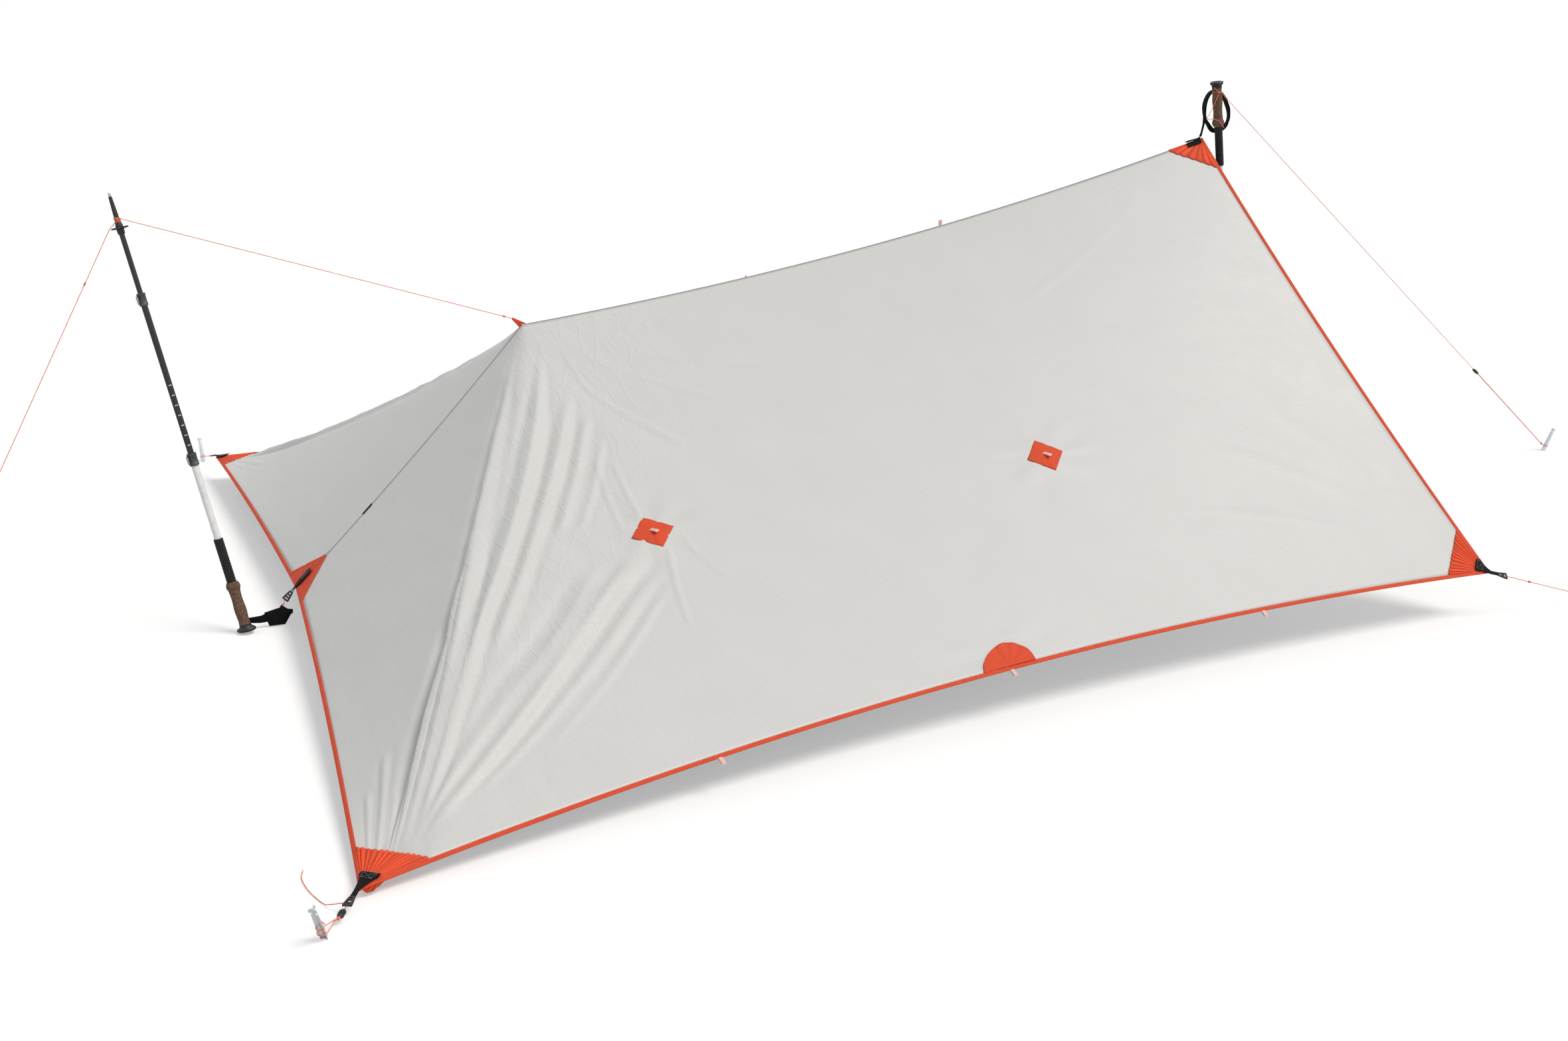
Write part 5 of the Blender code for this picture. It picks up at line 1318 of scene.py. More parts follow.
RIGHT_STRAP_LOOP = (
    (1.053, 1.207), (1.047, 1.2424), (1.054, 1.27), (1.07, 1.287), (1.092, 1.288), (1.112, 1.272),
    (1.126, 1.25), (1.1345, 1.229), (1.135, 1.204), (1.12, 1.1816), (1.0873, 1.174), (1.0688, 1.1861),
)
ACROSS_VIEW = Vector((0.924, -0.382, 0.0))
INTO_VIEW = Vector((0.382, 0.924, 0.0))
GRIP_CORDS = (
    ((1.049, -0.033, 1.2995), (1.056, -0.0348, 1.293), (1.0664, -0.0345, 1.2874), (1.078, -0.03, 1.284)),
    ((1.0664, -0.0348, 1.2874), (1.053, -0.035, 1.256), (1.0415, -0.03, 1.2257), (1.049, -0.004, 1.2085)),
    ((1.049, -0.004, 1.2085), (1.058, -0.024, 1.209), (1.0748, -0.0352, 1.2027), (1.096, -0.03, 1.1832)),
)

# Marks on the middle tube: how many, their step, size and where the first one is
MARK_COUNT = 7
MARK_STEP = 0.0253
MARK_HEIGHT = 0.0026
MARK_THICK = 0.00006
MARKS_FROM_TUBE = 0.024
MARKS_FACE = Vector((0.2, -1.0, 0.1))


class Pole:
    """A three-section trekking pole, measured along its axis from the pommel's end face."""

    def __init__(self, name, start, end, spin, wide, sides):
        self.name = name
        self.wide = wide
        self.start = start
        self.axis = (end - start).normalized()
        self.length = (end - start).length
        turn = self.axis.to_track_quat("Z", "Y").to_matrix().to_4x4()
        self.place = Matrix.Translation(start) @ turn @ Matrix.Rotation(spin, 4, "Z")
        self.sides = sides

    def polar(self, radius, angle, z):
        return self.place @ Vector((radius * cos(angle), radius * sin(angle), z))

    def ring(self, z, radius, centre=(0.0, 0.0), lobes=0, lobe=0.0):
        points = []
        for i in range(self.sides):
            angle = 2 * pi * i / self.sides
            r = radius + lobe * cos(lobes * angle)
            x = centre[0] + r * cos(angle)
            points.append(self.place @ Vector((x, centre[1] + r * sin(angle), z)))
        return points

    def add(self, part, shape, finish, slot, node=None, body_like=None, angle=40.0):
        made = add_piece(self.name + "_" + part, shape, finish, angle)
        if node:
            return dress(made, slot, self.name + "_" + node)
        return dress(made, slot, body=NODE_BODY[self.name + "_" + body_like])

    def turned(self, profile, closed=False):
        return loft([self.ring(z, r) for r, z in profile], closed)

    def tube_between(self, outer, inner, low, high):
        edge = 0.0003
        profile = [(outer - edge, low), (outer, low + edge), (outer, high - edge), (outer - edge, high)]
        return self.turned(profile + [(inner, high), (inner, low)], closed=True)

    def add_tubes(self):
        shape = self.tube_between(UPPER_RADIUS, UPPER_BORE, UPPER_TUBE_START, UPPER_TUBE_END)
        self.add("white_section", shape, "white", "white_tube", "upper_tube")
        shape = self.tube_between(MID_RADIUS, MID_RADIUS - 0.001, MID_START, MID_END)
        self.add("mid_section", shape, "carbon", "carbon", "mid_tube")
        top = self.length - TIP_LENGTH + SOCKET_DEPTH - CLEAR
        shape = self.tube_between(LOWER_RADIUS, LOWER_RADIUS - 0.001, top - LOWER_TUBE_LENGTH, top)
        self.add("lower_section", shape, "carbon", "carbon", "lower_tube")

    def add_length_marks(self):
        """Plain white marks on the dark middle tube, in pairs a fixed step apart."""
        turned = self.place.to_3x3().inverted() @ MARKS_FACE
        middle = atan2(turned.y, turned.x)
        around = [(MID_RADIUS + MARK_THICK, step * 0.17) for step in (-1.0, -0.33, 0.33, 1.0)]
        around += [(MID_RADIUS - MARK_THICK, -turn) for _, turn in around]
        shapes = []
        for k in range(MARK_COUNT):
            low = UPPER_TUBE_END + MARKS_FROM_TUBE + MARK_STEP * k
            for aside in (middle - 0.27, middle + 0.27):
                ends = (low, low + MARK_HEIGHT)
                shapes.append(loft([[self.polar(r, aside + turn, z) for r, turn in around] for z in ends]))
        self.add("length_marks", joined(shapes), "white", "white_tube", body_like="mid_tube")

    def add_grip(self):
        """Cork grip with its shaped collar and finger swells, and the rubber pommel over its end."""
        outline = (
            (0.0185, 1.02), (0.024, 0.97), (0.03, 0.95), (0.04, 0.99), (0.052, 1.055), (0.062, 1.05),
            (0.074, 0.985), (0.087, 0.94), (0.097, 0.96), (0.108, 1.02), (0.113, 1.13), (0.117, 1.235),
            (0.122, 1.225), (0.128, 1.08), (GRIP_END - 0.0008, 0.93), (GRIP_END, 0.9),
        )
        rings = []
        for p in curve_through([(r, z, 0.0) for z, r in outline], 4):
            lean = 0.0015 * float(ease((p.y - 0.1) / 0.014)) * float(ease((GRIP_END - p.y) / 0.006))
            rings.append(self.ring(p.y, GRIP_RADIUS * p.x, (lean, 0.0)))
        bore = UPPER_RADIUS + CLEAR
        inside = [self.ring(GRIP_END, bore), self.ring(UPPER_TUBE_START - CLEAR, bore)]
        self.add("cork_grip", loft(rings + inside), "cork", "cork", "grip")
        cap = (
            (0.0, 0.74, 1.22), (0.0006, 0.87, 1.26), (0.002, 0.965, 1.28), (0.0042, 1.0, 1.3),
            (0.0072, 0.985, 1.28), (0.0096, 0.9, 1.2), (0.0118, 0.81, 1.08), (0.0145, 0.765, 1.0),
            (0.0192, 0.755, 1.0), (0.0192, 0.6, 1.0),
        )
        rings = []
        for z, r, stretch in cap:
            more = self.wide * (stretch - 1)
            ring = [(p, p - self.start - self.axis * z) for p in self.ring(z, 0.019 * r)]
            rings.append([p + more * away.dot(self.wide) for p, away in ring])
        self.add("pommel", loft(rings), "plastic", "plastic", body_like="grip")
        disc = [(0.0088, 0.0), (0.0094, -0.0002), (0.0098, 0.0006), (0.004, 0.0006)]
        self.add("pommel_disc", self.turned(disc), "foam", "foam", body_like="grip")

    def add_foam(self):
        start, bore = GRIP_END + CLEAR, UPPER_RADIUS + CLEAR
        profile = [(FOAM_RADIUS * 0.9, start), (FOAM_RADIUS * 0.97, start + 0.0015)]
        grooves = 15
        for k in range(grooves):
            z = start + 0.004 + (FOAM_END - start - 0.01) * k / (grooves - 1)
            dip = FOAM_RADIUS - 0.0006
            profile += [(FOAM_RADIUS, z - 0.0022), (dip, z - 0.0008)]
            profile += [(dip, z + 0.0008), (FOAM_RADIUS, z + 0.0022)]
        profile += [(FOAM_RADIUS * 0.97, FOAM_END - 0.0015), (FOAM_RADIUS * 0.92, FOAM_END)]
        profile += [(bore, FOAM_END), (bore, start)]
        profile = [p for k, p in enumerate(profile) if k == 0 or p[1] >= profile[k - 1][1] or p[0] == bore]
        self.add("foam_grip", self.turned(profile, closed=True), "foam", "foam", "foam_sleeve", angle=60.0)

    def add_tip(self):
        """Carbide tip, tapered flex tip, and the scalloped basket on its threaded hub."""
        base = self.length - TIP_LENGTH
        bore = LOWER_RADIUS + CLEAR
        basket = self.length - BASKET_FROM_TIP
        hub = bore + 0.0018
        end = self.length
        profile = (
            (bore, base + SOCKET_DEPTH), (bore, base), (hub - 0.0004, base), (hub, base + 0.0006),
            (hub + 0.0006, basket - 0.004), (hub + 0.0006, basket + 0.003),
            (hub + 0.0002, basket + 0.0072), (hub - 0.0006, basket + 0.01), (0.0064, basket + 0.0135),
            (0.0061, basket + 0.02), (0.0052, end - 0.036), (0.0043, end - 0.0145),
            (0.0042, end - 0.0108), (0.0039, end - 0.01), (0.003, end - 0.01),
        )
        self.add("flex_tip", self.turned(profile), "tip", "tip", "tip")
        point = [(0.0029, 0.0112), (0.0031, 0.0106), (0.0031, 0.0034), (0.0026, 0.0008)]
        point = [(r, end - z) for r, z in (*point, (0.0021, 0.0002), (0.0013, 0.0012))]
        self.add("carbide_point", self.turned(point), "steel", "stake", body_like="tip")
        rings = []
        shape = [(0.0098, -0.0034), (0.0125, -0.003), (0.0165, -0.0024), (0.019, -0.0018)]
        shape += [(0.0198, -0.0008), (0.0198, 0.0006), (0.019, 0.0014), (0.0165, 0.0015)]
        shape += [(0.0125, 0.0012), (0.01, 0.0016)]
        for r, z in shape:
            lobe = 0.0013 * max(0.0, (r - 0.01) / 0.01)
            rings.append(self.ring(basket + z, r, lobes=8, lobe=lobe))
        rings.append(self.ring(basket + 0.0016, hub + 0.0004))
        rings.append(self.ring(basket - 0.003, hub + 0.0004))
        self.add("basket", loft(rings, closed=True), "plastic", "tip", body_like="tip", angle=50.0)

    def prism(self, outline, low, high, bevel=0.0003):
        """An outline across the pole, given as x and y, drawn out along it with soft edges."""
        middle = sum((Vector(p) for p in outline), Vector((0, 0))) / len(outline)
        rings = []
        for z, inset in ((low, bevel), (low + bevel, 0.0), (high - bevel, 0.0), (high, bevel)):
            ring = []
            for p in outline:
                away = Vector(p) - middle
                flat = Vector(p) - away.normalized() * inset
                ring.append(self.place @ Vector((flat.x, flat.y, z)))
            rings.append(ring)
        return loft(rings)

    def add_lock(self, part, tube_radius, tube_end):
        """Flick lock: collar with its lugs, pin and screw, and the lever that presses on it."""
        low = tube_end + 0.004 - LOCK_BODY
        high = low + LOCK_BODY
        bore = tube_radius + CLEAR
        outer = bore + 0.0026
        pin_at = outer + CLEAR + EYE
        edge = 0.0006
        wall = [(bore, low), (outer - edge, low), (outer, low + edge), (outer, low + 0.006)]
        wall += [(outer - 0.0005, low + 0.0066), (outer - 0.0005, high - 0.0066), (outer, high - 0.006)]
        wall += [(outer, high - edge), (outer - edge, high), (bore, high)]

        def at_pin(radius, turns=np.linspace(0, 2 * pi, 17)[:-1]):
            return [(pin_at + radius * cos(a), radius * sin(a)) for a in turns]

        shapes = [self.turned(wall, closed=True)]
        lug = at_pin(EYE, np.linspace(-pi / 2, pi / 2, 13))
        lug += [(outer * 0.94, EYE), (outer * 0.94, -EYE)]
        shapes += [self.prism(lug, z, z + LUG) for z in (low, high - LUG)]
        shapes.append(self.prism(at_pin(0.0011), low + 0.002, high - 0.002))
        self.add(part + "_collar", joined(shapes), "lock", "lock", part + "_lock")
        heads = (low - 0.0002, high - 0.0006)
        screws = [self.prism(at_pin(0.0019), z, z + 0.0008, 0.0002) for z in heads]
        self.add(part + "_screw", joined(screws), "steel", "lever", body_like=part + "_lock")
        first = 0.66 * EYE / (outer + 0.0028)
        body_low, body_high = low + LUG + CLEAR, high - LUG - CLEAR
        soft = 0.0005
        rings = []
        for share in np.linspace(0, 1, 31):
            angle = first + radians(150.0) * share
            reach = (outer + 0.0028) * (1 + 0.1 * share**3)
            thin = 1 - 0.35 * float(ease((share - 0.75) / 0.25))
            inner = reach - 0.0022 * thin if share > 0.85 else outer + 0.0006
            between = mix(inner, reach, 0.75)
            pull = 0.0028 * float(ease((share - 0.7) / 0.3))
            under, over = body_low + pull, body_high - pull
            section = [(inner, under), (between, under), (reach, under + soft)]
            section += [(reach, over - soft), (between, over), (inner, over)]
            rings.append([self.polar(r, angle, z) for r, z in section])
        shapes = [loft(rings), self.prism(at_pin(EYE - 0.0001), body_low, body_high)]
        self.add(part + "_flick_lever", joined(shapes), "lever", "lever", part + "_lever")

    def build(self):
        self.add_tubes()
        self.add_length_marks()
        self.add_grip()
        self.add_foam()
        self.add_tip()
        self.add_lock("upper", UPPER_RADIUS, UPPER_TUBE_END)
        self.add_lock("lower", MID_RADIUS, MID_END)

    def tip_radius(self, from_tip):
        low = BASKET_FROM_TIP - 0.014
        share = (low - from_tip) / (low - 0.01)
        return 0.0062 + (0.004 - 0.0062) * share


def both_poles(sides):
    left = Pole("left", LEFT_FOOT, LEFT_TIP, radians(200.0), ACROSS_VIEW, sides)
    right = Pole("right", RIGHT_TOP, RIGHT_FOOT, radians(20.0), INTO_VIEW, sides)
    return left, right


def add_left_strap():
    """The padded wrist strap of the upturned pole, pulled out flat, with the webbing that holds it."""
    corners = (
        (-1.739, 0.04), (-1.7335, 0.015), (-1.729, 0.0022), (-1.69, 0.0022), (-1.6745, 0.0268),
        (-1.6685, 0.031), (-1.6685, 0.0405), (-1.681, 0.043), (-1.6962, 0.0556), (-1.7005, 0.0485),
    )
    middle = Vector((-1.705, STRAP_Y, 0.025))
    outline = []
    for a, b in zip(corners, corners[1:] + corners[:1]):
        outline += [Vector((mix(a[0], b[0], k / 8), STRAP_Y, mix(a[1], b[1], k / 8))) for k in range(8)]
    profile = [(0.02, 0.0), (0.45, 0.0), (0.78, 0.08), (0.83, 0.32), (0.87, 0.34)]
    profile += [(0.92, 0.22), (0.97, 0.4), (1.0, 0.9)]
    rings = []
    for side in (-1, 1):
        for reach, thin in profile if side < 0 else profile[::-1]:
            off = Vector((0, side * 0.0025 * (1 - thin), 0))
            rings.append([middle.lerp(p, reach) + off for p in outline])
    made = put("left_wrist_strap", loft(rings), "webbing", 60.0, "webbing", "left_strap")
    band = []
    places = ((-1.78, 0.025, 0.014), (-1.764, 0.0242, 0.017), (-1.748, 0.024, 0.02))
    for x, z, wide in (*places, (-1.736, 0.0265, 0.024), (-1.718, 0.0285, 0.022)):
        band.append(((x, STRAP_Y - 0.0016, z), (0.15, 0, 1), (0, 1, 0), wide, 0.003))
    put("left_strap_band", strap(band, 6), "webbing", 60.0, "webbing", body=NODE_BODY["left_strap"])


def add_right_strap():
    """The wrist strap of the upright pole: an open loop, with its slider at the grip."""
    back = RIGHT_TOP.y + GRIP_RADIUS + CLEAR + 0.01
    side = Vector((0, 1, 0))
    corners = [Vector((x, back, z)) for x, z in RIGHT_STRAP_LOOP]
    smooth = curve_through(corners[-2:] + corners + corners[:2], 10)[20:-20]
    rings = []
    count = len(smooth) - 1
    for i in range(count):
        way = (smooth[i + 1] - smooth[i - 1 if i else -2]).normalized()
        high = float(ease((smooth[i].z - 1.215) / 0.03))
        low = float(ease((1.205 - smooth[i].z) / 0.015))
        width = mix(mix(0.0155, 0.019, high), 0.006, low)
        thick = mix(mix(0.0028, 0.0052, high), 0.014, low)
        rings.append(rounded_section(smooth[i], way.cross(side).normalized(), side, thick, width, 0.42, 4))
    put("right_wrist_strap", loft(rings, closed=True), "webbing", 60.0, "webbing", "right_strap")


def add_block(name, node, centre, along, size):
    """A small cord lock: a moulded body with ribs."""
    side = along.cross(Vector((0, 0, 1))).normalized()
    over = side.cross(along).normalized()
    length, width, thick = size
    shape = ((-0.5, 0.62, 0.7), (-0.44, 0.78, 0.9), (-0.3, 0.98, 1.0), (0.0, 0.92, 1.0), (0.3, 0.98, 1.0))
    shape += ((0.44, 0.78, 0.9), (0.5, 0.62, 0.7))
    body = [(centre + along * length * d, side, over, width * w, thick * h) for d, w, h in shape]
    shapes = [strap(body, 4)]
    for share in (-0.22, -0.07, 0.08, 0.23):
        place = centre + along * length * share
        rib = [(place - side * width * 0.4, along, over, length * 0.055, thick * 1.12)]
        rib.append((place, along, over, length * 0.055, thick * 1.14))
        rib.append((place + side * width * 0.4, along, over, length * 0.055, thick * 1.12))
        shapes.append(strap(rib, 3))
    return put(name, joined(shapes), "plastic", 40.0, "plastic", node)


def add_peak_tab(near, towards, runs):
    """The orange tab gathered upright from the seam at the peak, which the ridge line pulls on."""
    foot = RIDGE_PEAK + Vector((0, 0, 0.0018))
    down = (vec(near.ridge(0.9)) - RIDGE_PEAK).normalized() * 0.011
    along = (vec(near.ridge(1.1)) - RIDGE_PEAK).normalized() * 0.011
    tip = RIDGE_PEAK + Vector((-0.0255, 0.0, 0.0185))
    way = (towards - tip).normalized()
    half = Vector((way.z, 0, -way.x)).normalized() * 0.0025
    share = np.linspace(-1, 1, 61)
    pleat = np.cos(2 * np.pi * (2.6 * share + 0.15 * np.sin(4 * share)))
    grid, uv, folds = [], [], []
    for r in np.linspace(0.0, 1.0, 16):
        row = []
        for x, p in zip(share, pleat):
            base = foot + (down * -x if x < 0 else along * x)
            place = base.lerp(tip + half * x, r)
            row.append(place + Vector((0, -0.0007 * p * (1 - 0.5 * r), 0)))
        grid.append(row)
        uv.append([(x * 0.012, r * 0.03) for x in share])
        # Painted shade and painted light that follow the tab's pleats.
        folds.append(pleat * (1 - 0.4 * r))
    made = add_sheet("peak_pull_tab", grid, uv, "binding", (0, -1, 0), 0.0012, 0.0, fold=folds)
    dress(made, "binding", "peak_tab")
    runs.append([grid[2][k] + Vector((0, -0.0011, 0)) for k in (4, 20, 40, 56)])
    return tip + way * 0.0004


def add_corner_lines(near, far, runs):
    for side, panel, which in (("near", near, "high"), ("far", far, "low"), ("far", far, "high")):
        name = side + "_" + which
        held = on_peg("stake_" + name, WRAP_HEIGHT)[1]
        lock_end = add_corner_tab(panel, which, held, runs)[0]
        turn = stake_wrap("stake_" + name, lock_end)[::-1]
        knots = [knot_shape(lock_end.lerp(turn[0], 0.25), turn[0] - lock_end, KNOT_RADIUS, 4)]
        lay_cord("line_" + name, [lock_end] + turn, "cord_" + name, knots)
    lock_end, out, across = add_corner_tab(near, "low", CORD_LOCK_AT, runs)
    add_block("small_cord_lock", "cord_lock", CORD_LOCK_AT, out, (0.02, 0.012, 0.008))
    past = CORD_LOCK_AT + out * (0.007 + 0.001)
    back_end = CORD_LOCK_AT + out * (0.007 + CLEAR + CORD / 2) - across * 0.0035
    turn = stake_wrap("stake_near_low", back_end, pi, 0.0)
    knot = knot_shape(past + out * 0.0045, out, CORD * 1.05, 4)
    axis, high = on_peg("stake_near_low", 0.032)
    band = wrap_points(high, axis, STAKE_FIN * 0.97, back_end, radians(330.0), 0.002)
    route = [lock_end, past] + turn + [back_end]
    lay_cord("line_near_low", route, "cord_near_low", [knot, tube(band, CORD / 2, 8)])
    beside = lock_end - out * LOCK_LENGTH * 0.3
    clear = across * (LOCK_WIDTH / 2 + CLEAR + CORD / 2)
    clear = clear if (beside + clear).y > (beside - clear).y else -clear
    route = [beside + clear] + [Vector(p) for p in TAIL_ROUTE]
    lay_cord("loose_tail", curve_through(route, 7), "cord_tail")


def add_corner_tab(panel, which, target, runs):
    on_end, on_long = panel.corner_legs(which)
    corner = panel.corner(which)
    inward = unit(mix(on_end, on_long, 0.5) - corner)
    name = "corner_tab_" + panel.side + "_" + which
    up = panel.corner_up(which)
    return add_tab(name, corner, inward, up, target, 0.04, 0.032, 0.026, runs)


def add_low_ridge_end(near, far, runs):
    up = vec(unit(near.normal(0.0, 0.0) + far.normal(0.0, 0.0)))
    inward = (vec(near.ridge(near.apex("low"))) - RIDGE_LOW).normalized()
    up = (up - inward * up.dot(inward)).normalized()
    target = TIE_AT + Vector((0, RIDGE_LOW.y - TIE_AT.y, 0))
    place = ("ridge_tab_low", RIDGE_LOW, inward, up, target, 0.026, 0.052, 0.01)
    lock_end, out, _ = add_tab(*place, runs, Vector((-0.37, -0.88, 0.29)))
    points = [lock_end + out * (CORD * 0.4), lock_end.lerp(TIE_AT, 0.5), TIE_AT]
    knot = knot_shape(points[1], points[2] - points[0], KNOT_RADIUS, 3)
    bend = ("root", NODE_BODY["left_strap"], tuple(points[0] + PITCH), tuple(TIE_AT + PITCH))
    lay_cord("strap_line", points, "strap_cord", [knot], bend=bend)


def add_high_ridge_end(near):
    """Webbing along the ridge's tall end, then up to the slider on the wrist strap."""
    inward = (vec(near.ridge(near.apex("high"))) - RIDGE_HIGH).normalized()
    side = Vector((0, 1, 0))
    up = inward.cross(side).normalized()
    up = up if up.z > 0 else -up
    start = RIDGE_HIGH + up * TAB_RISE
    stations = [
        (start + inward * 0.05 + up * 0.003, side, up, 0.015, 0.0016),
        (start + inward * 0.03 + up * 0.0028, side, up, 0.016, 0.0016),
        (start + inward * HEM_REACH / 3 + up * 0.001, side, up, 0.015, 0.0016),
        (start.lerp(HANG_POINT, 0.22), ACROSS_VIEW, INTO_VIEW, 0.007, 0.002),
        (start.lerp(HANG_POINT, 0.6), ACROSS_VIEW, INTO_VIEW, 0.0065, 0.002),
        (HANG_POINT, ACROSS_VIEW, INTO_VIEW, 0.0075, 0.002),
    ]
    down = vec(near.point(1.97, 0.06) - near.point(1.97, 0.0)).normalized()
    over = vec(near.normal(1.97, 0.02))
    flap = []
    for reach in (0.052, 0.03, 0.004):
        place = RIDGE_HIGH + inward * reach + down * 0.0085 + over * 0.0062
        flap.append((place, down, over, 0.016, 0.0015))
    slider = []
    for z in (-0.007, 0.001, 0.009):
        slider.append((HANG_POINT + Vector((0, 0, z)), ACROSS_VIEW, INTO_VIEW, 0.011, 0.007))
    shape = joined([strap(stations, 7), strap(flap, 7), strap(slider, 3)])
    put("hanging_webbing", shape, "webbing", 60.0, "webbing", "ridge_tab_high")


def add_guy_lines(near, left, right, runs):
    tip = left.start + left.axis * left.length
    basket = tip - left.axis * BASKET_FROM_TIP
    radius = left.tip_radius(BASKET_FROM_TIP - 0.018) + CLEAR + CORD / 2
    low_turn = basket + left.axis * 0.018
    high_turn = low_turn + left.axis * 0.006
    out = Vector((*STAKES["stake_left_guy"][0], 0)) - basket
    out = (out - left.axis * out.dot(left.axis)).normalized()
    rim = basket + out * (0.02 + 0.0012 + CORD) + left.axis * CORD
    tab_end = add_peak_tab(near, high_turn, runs)
    turn = wrap_points(high_turn, left.axis, radius, tab_end, radians(200.0))
    run = tab_end - turn[-1]
    knot = knot_shape(tab_end - run.normalized() * 0.021, run, KNOT_RADIUS, 4)
    body = NODE_BODY["left_tip"]
    bend = ("root", body, tuple(tab_end + PITCH), tuple(turn[-1] + PITCH))
    lay_cord("ridge_guy", turn + [tab_end], "ridge_line", [knot], bend=bend)
    turn = wrap_points(low_turn, left.axis, radius, rim, radians(200.0))
    stake_turn = stake_wrap("stake_left_guy", rim)[::-1]
    run = stake_turn[0] - rim
    knots = [knot_shape(rim + run * 0.125, run, KNOT_RADIUS, 4)]
    bend = ("root", body, tuple(stake_turn[0] + PITCH), tuple(rim + PITCH))
    lay_cord("left_guy", turn + [rim] + stake_turn, "left_guyline", knots, bend=bend)
    coils = []
    for reach in (0.0138, 0.0159, 0.02, 0.0221):
        coil_radius = left.tip_radius(BASKET_FROM_TIP - reach) + 0.0002 + CORD / 2
        place = basket + left.axis * reach
        coils.append(wrap_points(place, left.axis, coil_radius, rim, radians(330.0)))
    put("tip_turns", joined([tube(c, CORD / 2, 8) for c in coils]), "cord", 60.0, "cord", body=body)
    grip = right.start + right.axis * WAIST_AT
    radius = GRIP_RADIUS * 0.95 + CLEAR + CORD / 2
    far_stake = Vector((*STAKES["stake_right_guy"][0], 0))
    turn = wrap_points(grip, -right.axis, radius, far_stake, radians(160.0))
    wrap = stake_wrap("stake_right_guy", grip)[::-1]
    run = wrap[0] - turn[-1]
    way = run.normalized()
    knots = [knot_shape(turn[-1] + way * 0.03, run, KNOT_RADIUS, 4)]
    at = turn[-1] + way * TENSIONER_FROM_GRIP
    aside = way.cross(Vector((0, 0, 1))).normalized() * 0.0032
    doubled = [at + way * 0.008 + aside, wrap[0] - way * 0.02 + aside * 0.6]
    knots.append(knot_shape(doubled[1] + way * 0.006, run, CORD * 1.3, 4))
    ties = joined([tube(curve_through(route, 6), CORD / 2, 8) for route in GRIP_CORDS])
    put("grip_ties", ties, "cord", 60.0, "cord")
    strand = [doubled[0].lerp(doubled[1], k / 20) for k in range(21)]
    second = add_piece("right_guy_return", tube(strand, CORD / 2, 8), "cord", 60.0)
    bend = ("root", NODE_BODY["guy_tensioner"], tuple(doubled[1] + PITCH), tuple(doubled[0] + PITCH))
    dress(second, "cord", bend=bend)
    lay_cord("right_guy", turn + wrap, "right_guyline", knots, others=[second])
    add_block("line_slider", "guy_tensioner", at, way, (0.03, 0.013, 0.006))


# The stage: a floor just under the pegs, a soft sun, and the camera that the photograph gives
FLOOR_HALF = 60.0
FLOOR_DROP = 0.0012
SKY_TINT = (0.925, 0.962, 1.0, 1.0)
SUN_COLOUR = (1.0, 0.948, 0.888)
SUN_WIDTH = radians(28.0)
SUN_FROM = Vector((0.42, -0.36, 0.83))
LENS = 38.04
SENSOR = 36.0
CAMERA_AT = Vector((-2.0354, -4.1911, 1.4713))
CAMERA_AHEAD = Vector((0.3664, 0.8853, -0.2863))
CAMERA_RIGHT = Vector((0.9243, -0.3818, 0.0023))

NUMBER = bpy.props.FloatProperty
LENGTH = partial(NUMBER, subtype="DISTANCE", unit="LENGTH", precision=4)
COLOUR = partial(bpy.props.FloatVectorProperty, subtype="COLOR", size=3, min=0.0, max=1.0)


class TarpCloth(bpy.types.PropertyGroup):
    """How the canopy hangs."""

    fold_height: NUMBER(
        name="Fold height", default=1.0, min=0.0, max=2.0,
        description="How much the tension folds stand out, as a share of their measured heights",
    )
    crinkle: NUMBER(
        name="Crinkle", default=1.0, min=0.0, max=3.0,
        description="How crumpled the cloth is between its folds",
    )
    thickness: LENGTH(name="Cloth thickness", description="Thickness of the coated cloth", default=0.0006)
    canopy: COLOUR(name="Canopy", description="Colour of the canopy cloth", default=srgb("D2D2D0")[:3])


class TarpSewing(bpy.types.PropertyGroup):
    """The thread of every seam."""

    stitch_spacing: LENGTH(
        name="Stitch spacing", description="Distance from one stitch to the next", default=0.0042
    )
    thread_diameter: LENGTH(
        name="Thread diameter", description="Diameter of the sewing thread", default=0.0007
    )
    binding: COLOUR(
        name="Binding", description="Colour of the binding and patches", default=srgb("EA532D")[:3]
    )


class TarpLines(bpy.types.PropertyGroup):
    """The lines and pegs."""

    cord: COLOUR(name="Cord", description="Colour of the guy cord", default=srgb("EE6E40")[:3])


class TarpPoles(bpy.types.PropertyGroup):
    """The trekking poles."""

    sides: bpy.props.IntProperty(
        name="Sides", description="Faces round each tube", default=56, min=16, max=128
    )


class TarpStage(bpy.types.PropertyGroup):
    """The floor and the light."""

    floor: COLOUR(name="Floor", description="Colour of the plain floor", default=srgb("DCDCDC")[:3])
    floor_glow: NUMBER(
        name="Floor glow", default=0.36, min=0.0, max=1.0,
        description="Light the camera sees in the floor besides its shading, so that it meets the white",
    )
    key_power: NUMBER(
        name="Key light", description="Strength of the soft sun", default=2.05, min=0.0, max=10.0
    )
    sky_power: NUMBER(
        name="Sky light", default=0.455, min=0.0, max=5.0,
        description="Strength of the white surroundings",
    )


class TarpPiece:
    """What every operator of the tarp shares."""

    bl_options = {"REGISTER"}

    def execute(self, context):
        self.build(context)
        return {"FINISHED"}


def panels():
    return Panel("near"), Panel("far")


